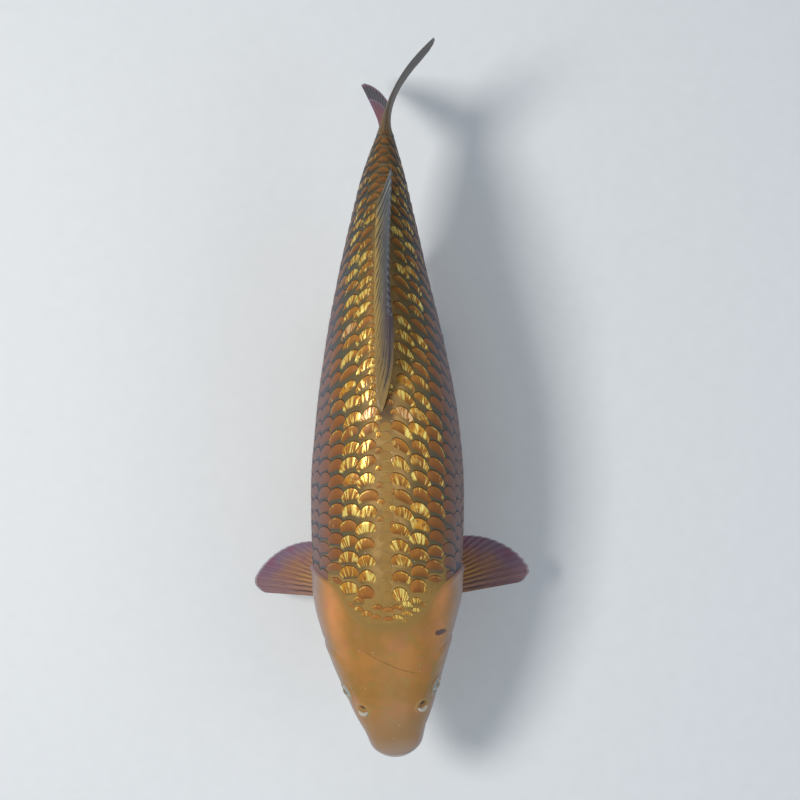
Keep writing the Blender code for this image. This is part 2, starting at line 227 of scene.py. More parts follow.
def floor_paint(wire):
    grain = wire.noise(60, 3)
    tone = grain.mix(colour(228, 230, 232), colour(234, 236, 238))
    return {"Base Color": tone, "Roughness": grain * 0.1 + 0.65}


def link(name, mesh, material):
    made = bpy.data.objects.new(name, mesh)
    mesh.materials.clear()
    mesh.materials.append(material)
    scene.collection.objects.link(made)
    return made


FLOOR_REACH = 7
floor_mesh = bpy.data.meshes.new("floor")
floor_corners = [(x * FLOOR_REACH, y * FLOOR_REACH, 0) for x, y in ((-1, -1), (1, -1), (1, 1), (-1, 1))]
floor_mesh.from_pydata(floor_corners, [], [(0, 1, 2, 3)])
link("floor", floor_mesh, finish("matt floor", floor_paint))

# ------------------------------------------------------------------ stand
# A flat base board with a satin black lacquer, and two steel rods in it that reach up to the belly.
def lacquer_paint(wire):
    grain = wire.noise(900, 4, rough=0.6)
    cloud = wire.noise(9, 3)
    return {
        "Base Color": cloud.mix(colour(30, 31, 33), colour(40, 41, 44)),
        "Roughness": cloud * 0.14 + 0.30,
        "Normal": grain.relief(0.00006, 0.6),
    }


def steel_paint(wire):
    x, y, z = wire.parts()
    drawn = wire.noise(1, 3, where=wire.joined(x * 160, y * 160, z * 4200))
    return {
        "Base Color": drawn.mix(colour(176, 178, 182), colour(202, 204, 207)),
        "Roughness": drawn * 0.16 + 0.22,
        "Normal": drawn.relief(0.00003, 0.5),
    }


STAND = {
    "stand_base": finish("satin black lacquer", lacquer_paint, Coat_Weight=0.35, Coat_Roughness=0.2),
    "stand_rod_front": finish("turned steel", steel_paint, Metallic=1.0),
}
STAND["stand_rod_rear"] = STAND["stand_rod_front"]
for node, material in STAND.items():
    part = frame["nodes"][node]
    for held in part.material_slots:
        held.material = material


# ------------------------------------------------------------------ skin
# One soft skin over the whole body, from the lips to the root of the tail fin, bare and smooth over
# the head and hidden by scales behind it. Its form is measured from the frame's flesh; folds, lips,
# nostrils, eye sockets and the gill covers' free edges are raised and sunk in it.
FLESH = (
    "head",
    "gill_cover_left",
    "gill_cover_right",
    "upper_lip",
    "lower_jaw",
    "trunk_front",
    "trunk_rear",
    "tail_stalk",
)
TIP = 0.0006  # the frame's snout starts this far behind the true tip
SNOUT_Y = min(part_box(name)[0].y for name in FLESH) - TIP
BODY_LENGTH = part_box("tail_stalk")[1].y - SNOUT_Y
HEAD_TURN = 0.0105  # the snout's offset to the fish's left, as the frame's
NECK = 0.155
TAIL_DRIFT = 0.0045
TAIL_RETURN = 0.0020
HEAD_ROUNDNESS = 2.5  # superellipse exponents, where 2 is an ellipse
BACK_ROUNDNESS = 2.15
BELLY_ROUNDNESS = 2.3


def smooth(value, start, end):
    part = np.clip((value - start) / (end - start), 0, 1)
    return part * part * (3 - 2 * part)


def hump(value, middle, width):
    return np.exp(-(((value - middle) / width) ** 2))


def through(xs, ys):
    """A smooth curve through these points that never overshoots them."""
    xs, ys = np.array(xs, float), np.array(ys, float)
    width = np.diff(xs)
    step = np.diff(ys) / width
    same_way = step[:-1] * step[1:] > 0
    total = np.where(same_way, step[:-1] + step[1:], 1)
    middle = np.where(same_way, 2 * step[:-1] * step[1:] / total, 0)
    slope = np.concatenate([step[:1], middle, step[-1:]])

    def curve(x):
        x = np.asarray(x, float)
        i = np.clip(np.searchsorted(xs, x, side="right") - 1, 0, len(width) - 1)
        part = (x - xs[i]) / width[i]
        blend = part * part * (3 - 2 * part)
        start = slope[i] * width[i] * part * (1 - part) ** 2
        end = slope[i + 1] * width[i] * part * part * (part - 1)
        return ys[i] + (ys[i + 1] - ys[i]) * blend + start + end

    return curve


def spine(along):
    turn = HEAD_TURN * np.maximum(1 - along / NECK, 0) ** 1.5
    drift = TAIL_DRIFT * smooth(along, 0.30, 0.50)
    drift = drift - TAIL_RETURN * np.maximum((along - 0.54) / 0.08, 0) ** 2
    return np.stack([turn - drift, SNOUT_Y + along, np.full(np.shape(along), AXIS_Z)], -1)


def unit(vectors):
    return vectors / np.linalg.norm(vectors, axis=-1, keepdims=True)


def across(along):
    """The way to the fish's left, square to the spine."""
    ahead = spine(along + 0.001) - spine(along - 0.001)
    return unit(np.stack([ahead[..., 1], -ahead[..., 0], np.zeros(np.shape(along))], -1))


def flesh_tree():
    points = []
    corners = []
    for name in FLESH:
        shell = frame["nodes"][name].data
        start = len(points)
        points += [vertex.co.copy() for vertex in shell.vertices]
        corners += [[start + i for i in face.vertices] for face in shell.polygons]
    return BVHTree.FromPolygons(points, corners)


FLESH_TREE = flesh_tree()
OUTSIDE = 0.12  # past the body on every side
BESIDE_EDGE = 0.0001  # looks pass this far beside the edges between the frame's faces


def reach(along, height, sideways, upright):
    """How far the frame's flesh reaches from the spine. The middle of three looks skips its cuts."""
    looks = []
    for s in (along - 0.0015, along, along + 0.0015):
        left = Vector(across(np.array(s)))
        way = left * sideways + Vector((0, 0, upright))
        beside = left * BESIDE_EDGE * upright + Vector((0, 0, BESIDE_EDGE * sideways + height))
        origin = Vector(spine(np.array(s))) + beside + way * OUTSIDE
        looks.append(OUTSIDE - (FLESH_TREE.ray_cast(origin, -way)[3] or OUTSIDE))
    return sorted(looks)[1]


def measured_sections():
    """Curves of half width, back and belly over the root of the distance from the snout."""
    tip = min((vertex.co for vertex in frame["nodes"]["upper_lip"].data.vertices), key=lambda co: co.y)
    rows = [(0.0, 0.0, tip.z - AXIS_Z, tip.z - AXIS_Z)]
    for root in np.linspace(0.07, math.sqrt(BODY_LENGTH - 0.002), 30):
        s = root * root
        back = reach(s, 0, 0, 1)
        belly = -reach(s, 0, 0, -1)
        middle = (back + belly) / 2
        half = (reach(s, middle, 1, 0) + reach(s, middle, -1, 0)) / 2
        rows.append((root, half, back, belly))
    columns = list(zip(*rows))
    return [through(columns[0], column) for column in columns[1:]]


HALF_WIDTH, BACK, BELLY = measured_sections()


def surface(along, turn):
    """The body's surface at this many degrees round it."""
    along, turn = np.broadcast_arrays(np.asarray(along, float), np.asarray(turn, float))
    angle = np.radians(turn)
    root = np.sqrt(np.maximum(along, 0))
    half, back, belly = (curve(root) for curve in (HALF_WIDTH, BACK, BELLY))
    over = HEAD_ROUNDNESS + (BACK_ROUNDNESS - HEAD_ROUNDNESS) * smooth(along, 0.08, 0.22)
    sine, cosine = np.sin(angle), np.cos(angle)
    power = 2 / np.where(cosine > 0, over, BELLY_ROUNDNESS)
    side = half * np.sign(sine) * np.abs(sine) ** power
    up = (back - belly) / 2 * np.sign(cosine) * np.abs(cosine) ** power
    point = spine(along) + across(along) * side[..., None]
    point[..., 2] += (back + belly) / 2 + up
    return point


def outward(along, turn):
    """The surface's normal there."""
    ahead = surface(along + 0.0015, turn) - surface(np.maximum(along - 0.0015, 0), turn)
    round_it = surface(along, turn + 1.5) - surface(along, turn - 1.5)
    return unit(np.cross(round_it, ahead))


# The girth, measured along the surface, from the back to the belly at many places along the body
GIRTH_ALONG = np.linspace(0.0008, BODY_LENGTH, 120)
GIRTH_ROUND = np.linspace(0, 1, 121)


def girth_tables():
    turns = np.linspace(0, 180, 241)
    rings = surface(GIRTH_ALONG[:, None], turns[None, :])
    arc = np.cumsum(np.linalg.norm(np.diff(rings, axis=1), axis=-1), axis=1)
    arc = np.concatenate([np.zeros((len(arc), 1)), arc], axis=1)
    share = arc / arc[:, -1:]
    return arc[:, -1], np.array([np.interp(GIRTH_ROUND, row, turns) for row in share])


HALF_GIRTH, TURNS = girth_tables()


def turn_at(along, round_it):
    """Degrees round the section for this share of the half girth, on its own side."""
    along, round_it = np.broadcast_arrays(np.asarray(along, float), np.asarray(round_it, float))
    size = np.abs(round_it)
    size = np.where(size > 1, 2 - size, size)  # past the middle of the belly
    side = np.where(np.abs(round_it) > 1, -1, 1) * np.where(round_it < 0, -1, 1)
    row = np.clip((along - GIRTH_ALONG[0]) / (GIRTH_ALONG[1] - GIRTH_ALONG[0]), 0, len(TURNS) - 1.001)
    column = np.clip(size * (len(GIRTH_ROUND) - 1), 0, len(GIRTH_ROUND) - 1.001)
    i, j = row.astype(int), column.astype(int)
    down, over = row - i, column - j
    near = TURNS[i, j] * (1 - over) + TURNS[i, j + 1] * over
    far = TURNS[i + 1, j] * (1 - over) + TURNS[i + 1, j + 1] * over
    return side * (near * (1 - down) + far * down)


def half_girth(along):
    return np.interp(along, GIRTH_ALONG, HALF_GIRTH)


# Where the bare head ends: over the nape, at the gill covers' free edges and under the throat
HEAD_EDGE = through(
    (0, 10, 19, 28, 36, 50, 70, 90, 110, 140, 165, 180),
    (0.1365, 0.1375, 0.143, 0.154, 0.171, 0.183, 0.192, 0.195, 0.189, 0.163, 0.130, 0.118),
)
COAT_DEPTH = 0.0012  # the skin lies this far inside the frame's flesh under the scales
EYE_PLACE = (0.073, 66)
NOSTRIL_PLACE = (0.054, 41)
SIDES = {"left": 1, "right": -1}
EYES = {}  # middle, radius and the skin's normal
NOSTRILS = {}  # middle, the skin's normal, and the ways back and out along the skin
for side, sign in SIDES.items():
    low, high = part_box(f"eye_{side}")
    normal = outward(EYE_PLACE[0], sign * EYE_PLACE[1])
    EYES[side] = (np.array((low + high) / 2), (high.z - low.z) / 2, normal)
    place = NOSTRIL_PLACE[0], sign * NOSTRIL_PLACE[1]
    normal = outward(*place)
    back_way = unit(surface(place[0] + 0.002, place[1]) - surface(place[0], place[1]))
    NOSTRILS[side] = (surface(*place), normal, back_way, np.cross(back_way, normal) * sign)


def gape_height(along):
    """Height of the closed mouth's line from the axis."""
    return -0.0235 - 0.15 * (along + 0.020)


def step_at(turn):
    """1 where the gill cover's free edge stands proud of the trunk, and 0 over the nape."""
    return smooth(np.abs(turn), 44, 58) * (1 - 0.6 * smooth(np.abs(turn), 150, 175))


def folds(along, turn, point, behind):
    """Heights of the skin's features over the plain body, and masks that their colours use."""
    size = np.abs(turn)
    height = np.zeros(np.shape(along))

    # Lips: a closed slit between two rolls, with a crease round each and a fold at the corner
    over_gape = point[..., 2] - AXIS_Z - gape_height(along)
    mouth = 1 - smooth(along, 0.027, 0.034)
    slit = hump(over_gape, 0, 0.0009) * mouth
    height -= 0.0024 * slit
    height += 0.0012 * hump(over_gape, 0.0056, 0.0040) * mouth
    height += 0.0010 * hump(over_gape, -0.0036, 0.0024) * mouth
    lip_fold = hump(over_gape, 0.0122, 0.0013) * (1 - smooth(along, 0.030, 0.042))
    height -= 0.0013 * lip_fold
    height -= 0.0009 * hump(over_gape, -0.0078, 0.0014) * mouth
    corner = 0.0335 + 0.35 * over_gape
    height -= 0.0012 * hump(along, corner, 0.0016) * hump(over_gape, 0.001, 0.0085)
    lip = mouth * smooth(-np.abs(over_gape - 0.002), -0.0120, -0.0085)

    # Eye sockets: a raised ring of skin that dips under the eyeball
    orbit = np.zeros(np.shape(along))
    for centre, _, normal in EYES.values():
        offset = point - centre
        rise = offset @ normal
        out = np.sqrt(np.maximum((offset**2).sum(-1) - rise**2, 0))
        ring = hump(out, 0.0090, 0.0017) * 0.0011 - 0.0030 * (1 - smooth(out, 0.0052, 0.0082))
        height += np.where(rise > 0, ring - 0.0004 * hump(out, 0.0128, 0.0016), 0)
        orbit = np.maximum(orbit, np.where(rise > 0, 1 - smooth(out, 0.0088, 0.0120), 0))

    # Nostrils: a pit behind a raised bridge, and a smaller pit before it. Known fault: normal is still the
    # right eye's here, so the left nostril is pressed in again, low on the head's right side
    pit = np.zeros(np.shape(along))
    rim = np.zeros(np.shape(along))
    for centre, _, back_way, out_way in NOSTRILS.values():
        offset = point - centre
        back, out = offset @ back_way, offset @ out_way
        here = offset @ normal > -0.010
        rear = here * np.exp(-(((back - 0.0034) / 0.0028) ** 2 + ((out - 0.0004) / 0.0040) ** 2))
        fore = here * np.exp(-(((back + 0.0044) / 0.0015) ** 2 + ((out - 0.0008) / 0.0026) ** 2))
        height -= 0.0028 * rear + 0.0012 * fore
        ring = here * hump(np.hypot(back - 0.001, out), 0.0070, 0.0020)
        height += 0.0008 * ring
        pit = np.maximum(pit, np.maximum(rear, 0.7 * fore))
        rim = np.maximum(rim, ring)

    # Gill cover: its plate bulges, the plate before it ends in a curved groove, and its edge is free
    level = size - 88
    cheek_line = 0.124 - 0.018 * (level / 45) ** 2
    cheek = smooth(size, 40, 55) * (1 - smooth(size, 128, 142))
    height -= 0.0009 * hump(along, cheek_line, 0.0020) * cheek
    height += 0.0008 * hump(along, cheek_line - 0.008, 0.006) * cheek
    height += 0.0009 * hump(behind, -0.030, 0.022) * hump(size, 88, 32)
    below_eye = 0.093 - 0.010 * ((size - 100) / 25) ** 2
    height -= 0.0005 * hump(along, below_eye, 0.0016) * hump(size, 103, 16)
    step = step_at(turn)
    proud = smooth(behind, -0.010, -0.0022) * (1 - smooth(behind, -0.0012, 0.0003))
    sunk = smooth(behind, -0.0006, 0.0004) * (1 - smooth(behind, 0.0006, 0.008))
    height += step * (0.0014 * proud - 0.0016 * sunk)

    # Folds of the gill membrane under the throat, and the line between the jaw bones
    throat = smooth(along, 0.055, 0.075) * (1 - smooth(behind, -0.02, 0))
    for place in (148, 156, 164):
        height -= 0.0006 * hump(size, place, 1.6) * throat
    chin = smooth(along, 0.030, 0.045) * (1 - smooth(along, 0.085, 0.11))
    height -= 0.0007 * hump(size, 180, 3) * chin

    # Skull: low brows over the eyes, a hollow between nostril and eye, and two bony swellings behind
    height += 0.0007 * hump(along, 0.078, 0.012) * hump(size, 44, 7)
    height -= 0.0006 * hump(along, 0.058, 0.006) * hump(size, 52, 9)
    height += 0.0006 * hump(along, 0.112, 0.022) * hump(size, 24, 14)
    height -= 0.0004 * hump(size, 0, 6) * hump(along, 0.115, 0.03)
    masks = {"lip": lip, "lip_fold": lip_fold, "slit": slit}
    masks |= {"pit": pit, "nostril_rim": rim, "orbit": orbit}
    return height, masks


SKIN_COLUMNS = 312
TRUNK_ROWS = 96
NAPE_ALONG = 0.165  # where shares of the girth are read as angles, for the head's edge
EYE_RING = 14  # the row of TURNS level with the eyes


def head_edge(round_it):
    """How far along the bare head ends at this share of the girth."""
    return HEAD_EDGE(np.abs(turn_at(NAPE_ALONG, round_it)))


def skin_columns():
    """Shares of the girth, closer together over the eyes."""
    fine = np.linspace(-1, 1, 6001)
    eye_round = np.interp(EYE_PLACE[1], np.sort(TURNS[EYE_RING]), GIRTH_ROUND)
    mass = np.cumsum(1 + 0.9 * hump(np.abs(fine), eye_round, 0.075))
    wanted = (np.arange(SKIN_COLUMNS) + 0.5) / SKIN_COLUMNS * mass[-1]
    return np.interp(wanted, mass, fine)


def head_rows():
    """Shares of the way from the snout to the head's edge, close at the lips and at that edge."""
    place = 0.00025
    rows = []
    typical = 0.17
    while place < typical - 0.0004:
        rows.append(place / typical)
        lips = 0.00035 + 0.0006 * smooth(place, 0.0, 0.02)
        cheeks = 0.0006 * smooth(place, 0.088, 0.11)
        edge = 0.0012 * smooth(place, typical - 0.012, typical - 0.002)
        place += max(lips + cheeks - edge, 0.0004)
    return np.array(rows + [1.0])


def closed_tube_faces(rows, columns, first_tip, last_tip):
    """Quads of a tube of rows, and the fans that close it round the two tips' points."""
    i, j = np.meshgrid(np.arange(rows - 1), np.arange(columns), indexing="ij")
    near = (j + 1) % columns
    here, below = i * columns, (i + 1) * columns
    quads = np.stack([here + j, here + near, below + near, below + j], -1)
    ring = np.arange(columns)
    after = (ring + 1) % columns
    last = (rows - 1) * columns
    fans = [[int(b), int(a), first_tip] for a, b in zip(ring, after)]
    fans += [[int(last + a), int(last + b), last_tip] for a, b in zip(ring, after)]
    return quads.reshape(-1, 4).tolist() + fans


def keep(mesh, own):
    """Gives each point of the mesh these values of its own."""
    for label, values in own.items():
        values = np.ravel(values).astype(np.float32)
        mesh.attributes.new(label, "FLOAT", "POINT").data.foreach_set("value", values)


def solid(name, points, faces, own=None):
    """A smooth closed mesh whose faces point outwards, with its own attributes."""
    mesh = bpy.data.meshes.new(name)
    mesh.from_pydata(np.asarray(points).tolist(), [], faces)
    mesh.calc_loop_triangles()
    corners = np.empty(len(mesh.loop_triangles) * 3, np.int32)
    mesh.loop_triangles.foreach_get("vertices", corners)
    triangles = np.asarray(points)[corners.reshape(-1, 3)]
    if np.linalg.det(triangles - triangles.mean((0, 1))).sum() < 0:
        mesh.flip_normals()
    keep(mesh, own or {})
    mesh.shade_smooth()
    mesh.update()
    return mesh


def rider(name, mesh, material, slot, *nodes):
    """A finished piece that rides on the model's one body and stands for these nodes."""
    made = link(name, mesh, material)
    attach(made, "root")
    if nodes:
        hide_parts(*nodes)
    return made


TAIL_ROOT = 0.010  # the flesh thins into the tail fin over this length


def skin_mesh():
    columns = skin_columns()
    edge = head_edge(columns)
    shares = head_rows()
    head_along = shares[:, None] * edge[None, :]
    trunk_shares = np.concatenate([[0.0009, 0.0020, 0.0036, 0.006, 0.010], np.linspace(0.016, 1, TRUNK_ROWS)])
    trunk_along = edge[None, :] + (BODY_LENGTH - edge)[None, :] * trunk_shares[:, None]
    along = np.concatenate([head_along, trunk_along])
    round_it = np.broadcast_to(columns, along.shape)
    turn = turn_at(along, round_it)
    behind = along - edge[None, :]
    plain = surface(along, turn)
    normal = outward(np.maximum(along, 0.0008), turn)
    height, masks = folds(along, turn, plain, behind)
    nape_depth = smooth(behind, -0.004, 0.012)
    side_depth = smooth(behind, -0.0004, 0.0006)
    step = step_at(turn)
    height -= COAT_DEPTH * (side_depth * step + nape_depth * (1 - step))
    points = plain + normal * height[..., None]
    end = points[-1]
    middle = end.mean(0)
    thinned = []
    for share, narrow in ((0.35, 0.80), (0.7, 0.5), (1.0, 0.16)):
        ring = middle + (end - middle) * np.array([narrow, 1, 1 - 0.03 * share])
        thinned.append(ring + np.array([0, TAIL_ROOT * share, 0]))
    points = np.concatenate([points, thinned])
    tips = [surface(0.0, 0.0), middle + np.array([0, TAIL_ROOT, 0])]
    rows = len(points)
    flat = np.concatenate([points.reshape(-1, 3), tips])

    def spread(values):
        """An attribute's rows with those of the tail root and the two tips added."""
        values = np.broadcast_to(values, along.shape)
        return np.concatenate([values.ravel(), np.tile(values[-1], 3), values[0, :1], values[-1, :1]])

    own = {"along": along, "round": np.abs(round_it), "behind": behind, **masks}
    faces = closed_tube_faces(rows, SKIN_COLUMNS, rows * SKIN_COLUMNS, rows * SKIN_COLUMNS + 1)
    return solid("skin", flat, faces, {label: spread(values) for label, values in own.items()})


# Colours of the bare head and of the skin between the scales
HEAD_BROWN = colour(158, 114, 52)
HEAD_ORANGE = colour(178, 122, 58)
HEAD_OLIVE = colour(156, 124, 60)
SNOUT_BROWN = colour(160, 124, 86)
# The cheek and flank colours next are painted sheen: a bluish-grey reflection along the head's sides
CHEEK_SHEEN = colour(150, 132, 134)
FLANK_SHEEN = colour(124, 120, 130)
THROAT_CREAM = colour(214, 186, 148)
LIP_PINK = colour(192, 178, 170)
CREASE_RED = colour(150, 78, 52)
NAPE_TAN = (colour(144, 113, 58), colour(164, 128, 68))  # its darker and its lighter clouds


def net_tone(wire, around, along, cloud):
    """The skin round the scales, tan on the back to slate on the flanks and cream below, and the stalk's
    darkening.

    That darkening is how far the tail stalk's upper side has turned darker: partly its own darker colour,
    partly painted shade towards the tail.
    """
    tan = cloud.rise(0.35, 0.65).mix(colour(144, 112, 64), colour(174, 136, 80))
    net = around.rise(0.045, 0.11).mix(tan, colour(108, 90, 54))
    net = around.rise(0.11, 0.22).mix(net, colour(86, 84, 70))
    net = around.rise(0.20, 0.36).mix(net, colour(92, 96, 106))
    net = around.rise(0.52, 0.76).mix(net, colour(176, 150, 112))
    # Partly the stalk's own darker colour and partly painted shade: the upper side darkens towards the tail
    stalk_dark_and_shade = along.rise(0.42, 0.60) * around.rise(0.75, 0.55)
    # Painted shade: a soft dark-brown patch on the back just before the back fin's front
    ridge = along.near(0.348, 0.026) * around.rise(0.040, 0.018)
    net = (ridge * 0.85).mix(net, colour(80, 62, 44))
    stalk_dark_and_shade_tone = around.rise(0.08, 0.24).mix(colour(78, 72, 54), colour(62, 72, 78))
    return (stalk_dark_and_shade * 0.8).mix(net, stalk_dark_and_shade_tone), stalk_dark_and_shade


SPOT = (0.0523, -0.162)  # the middle of the dark spot on the cheek
SPOT_TURN = 0.22  # its slope
SPOT_SIZE = (0.0066, 0.0031)  # its half length and half width
SCAR = (0.0025, -0.1933)  # a point on the healed line
SCAR_SLOPE = 0.4535
SCAR_BEND = 4.79
PORES = 150  # cells a metre, some with a pore


def skin_paint(wire):
    along, around, behind = wire.own("along"), wire.own("round"), wire.own("behind")
    x, y, z = wire.parts()
    wide = wire.noise(26, 3, rough=0.55)
    cloud = wire.noise(75, 4, rough=0.6, twist=0.4)
    grain = wire.noise(420, 4, rough=0.6)
    tone = wide.rise(0.38, 0.62).mix(HEAD_BROWN, HEAD_ORANGE)
    tone = (cloud.rise(0.50, 0.68) * 0.7).mix(tone, HEAD_OLIVE)
    bands = around.near(0.240, 0.09) * along.rise(0.09, 0.135) * (wide.rise(0.30, 0.62) * 0.4 + 0.6)
    tone = (bands * 0.75).mix(tone, colour(222, 146, 88))
    tone = (along.rise(0.076, 0.030) * 0.7).mix(tone, SNOUT_BROWN)
    flushed = wire.noise(48, 2).rise(0.54, 0.70)
    tone = (flushed * 0.35).mix(tone, colour(178, 112, 84))
    tone = (along.rise(0.026, 0.004) * 0.7).mix(tone, colour(172, 146, 126))
    # Painted sheen: the head's sides turn mauve and then bluish-grey, as a reflection along them
    cheek = around.rise(0.26, 0.42)
    tone = (cheek * 0.75).mix(tone, CHEEK_SHEEN)
    flank_sheen = wide.rise(0.3, 0.7).mix(colour(150, 122, 100), FLANK_SHEEN)
    tone = (around.rise(0.40, 0.56) * 0.7).mix(tone, flank_sheen)
    throat = around.rise(0.58, 0.80)
    tone = throat.mix(tone, cloud.mix(THROAT_CREAM, colour(202, 166, 122)))
    ring = behind.near(-0.004, 0.010) * around.rise(0.30, 0.2)
    tone = (ring * 0.35).mix(tone, colour(146, 112, 56))
    tone = (behind.rise(-0.006, 0.004) * (1 - around.rise(0.28, 0.40))).mix(tone, colour(146, 114, 58))
    side_edge = around.rise(0.26, 0.36) * around.rise(0.86, 0.74)
    tone = (behind.near(-0.0010, 0.0030) * side_edge * 0.7).mix(tone, colour(132, 116, 130))
    tone = (behind.near(0.0016, 0.0042) * side_edge * 0.85).mix(tone, CREASE_RED)
    net, _ = net_tone(wire, around, along, cloud)
    net = (behind.rise(0.07, 0.02) * around.rise(0.34, 0.24)).mix(net, cloud.mix(*NAPE_TAN))
    net = (behind.rise(0.030, 0.006) * around.rise(0.22, 0.32)).mix(net, colour(112, 92, 86))
    tone = behind.rise(0.004, 0.012).mix(tone, net)
    tone = (wire.own("lip") * 0.75).mix(tone, LIP_PINK)
    # Painted shade: the fold above the upper lip and the closed mouth's slit are darkened, as shade in these
    # creases
    tone = (wire.own("lip_fold") * 0.6).mix(tone, colour(112, 88, 76))
    tone = (wire.own("slit") * 0.9).mix(tone, colour(92, 60, 52))
    tone = (wire.own("nostril_rim") * 0.5).mix(tone, colour(172, 146, 92))
    # Painted shade: the nostril pits are darkened, as shade in the holes
    tone = wire.own("pit").rise(0.3, 0.9).mix(tone, colour(92, 70, 46))
    tone = (wire.own("orbit") * 0.65).mix(tone, colour(160, 158, 146))

    # A dark spot on the left cheek and a thin line healed across the skull
    spot_x, spot_y = x - SPOT[0], y - SPOT[1]
    spot_long = spot_x + spot_y * SPOT_TURN
    spot_wide = spot_y - spot_x * SPOT_TURN
    spot = (spot_long / SPOT_SIZE[0]) ** 2 + (spot_wide / SPOT_SIZE[1]) ** 2 + (grain - 0.5) * 1.2
    tone = (spot.rise(1.25, 0.45) * z.rise(AXIS_Z - 0.02, AXIS_Z) * 0.85).mix(tone, colour(62, 52, 62))
    over = x - SCAR[0]
    line = y - SCAR[1] + over * SCAR_SLOPE - over * over * SCAR_BEND
    line = line + (wide - 0.5) * 0.004
    reach_x = x.rise(-0.0235, -0.018) * x.rise(0.033, 0.026) * z.rise(AXIS_Z, AXIS_Z + 0.02)
    scar = line.size().rise(0.0008, 0.0002) * reach_x
    tone = (scar * 0.45).mix(tone, colour(92, 60, 36))

    # Fine pores: a few white and a few dark
    specks = wire.cells(PORES)
    draw = wire.node("ShaderNodeSeparateXYZ", sockets={0: wire.cells(PORES, out=1)})
    tone = (specks.rise(0.085, 0.05) * draw.rise(0.66, 0.68) * 0.8).mix(tone, colour(226, 214, 198))
    tone = (specks.rise(0.13, 0.06) * draw.rise(0.16, 0.14) * 0.45).mix(tone, colour(96, 66, 44))
    bump = grain * 0.25 + cloud * 0.5 - scar * 0.8 - specks.rise(0.10, 0.0) * 0.25
    bare = behind.rise(0.006, -0.002)
    return {
        "Base Color": tone,
        "Roughness": cloud * 0.16 + 0.66 - bare * 0.30,
        "Coat Weight": bare * 0.2,
        "Normal": bump.relief(0.00035, 0.5),
    }


SKIN_FINISH = finish("koi skin", skin_paint, Specular_IOR_Level=0.3, Coat_Roughness=0.16)
rider("skin", skin_mesh(), SKIN_FINISH, "head_skin", *FLESH)

# ------------------------------------------------------------------ scales
# About 850 thin bony scales with their pockets of skin, in lengthwise columns that overlap
# like roof tiles. One blank is copied flat onto a pattern of the body by Geometry Nodes, and the
# pattern is then wrapped round the skin, each root just under it and each free edge just over it.
DORSAL_BASE = (0.354, 0.553)  # the back fin's root, as the frame's
DORSAL_ASIDE = -0.0045  # from the back's middle to the root, behind its front end
COLUMNS = 13
COLUMN_WIDTH = through((0.10, 0.20, 0.43, 0.50, 0.57, 0.64), (0.0162, 0.0165, 0.0157, 0.0135, 0.0118, 0.0104))
# Places of the columns, in the first one's width from the back's middle: they widen down the flank
LAST_PLACE = 4.55 + 1.28 * (COLUMNS - 3)
COLUMN_PLACES = through((-1, 0, 1, 2, 3, COLUMNS), (-0.1, 0.93, 2.05, 3.27, 4.55, LAST_PLACE))
PITCH = through(
    (0.09, 0.165, 0.31, 0.42, 0.51, 0.60, 0.64),
    (0.0140, 0.0156, 0.0158, 0.0140, 0.0120, 0.0094, 0.0088),
)
SLANT = through((0.14, 0.22, 0.33, 0.42, 0.52, 0.62), (0.04, 0.18, 0.52, 0.68, 0.70, 0.56))
SLANT_COLUMNS = 5  # those nearest the back, beyond which the scales stand straight
LEFT_SLANT = 0.10  # how much more the fish's left side slants
WIDE = 1.17  # a scale's width in column steps
LONG = 1.45  # its length in pitches
EDGE_DROP = 0.45  # of its length, from the middle of its rounded free edge to the corners
LATERAL_LINE = 6  # the column whose scales are pierced by the sense line
MIDLINE, SHEATH, NAPE = -1, -2, -3  # kinds of scale other than a column's number
# What a scale's row holds: its place, kind, width, length and lift, and then what its colours need
ROUND, FREE, KIND, BROAD, LONG_BY, LIFT, CHANCE, GOLD_AND_GLINT, FAINT, SMALL, FIRST = range(11)
NAPE_REACH = 0.0235  # how far behind the bare head the nape's small scales go
NAPE_STEP = 0.0098  # between their columns
NAPE_START = 0.003  # from the bare head to the first of them
NAPE_GAP = 0.0025  # from the last of them to the first full-size scales
NAPE_SLIM = 0.20  # the share by which the full-size scales next to them are narrower
rng = np.random.default_rng(7)


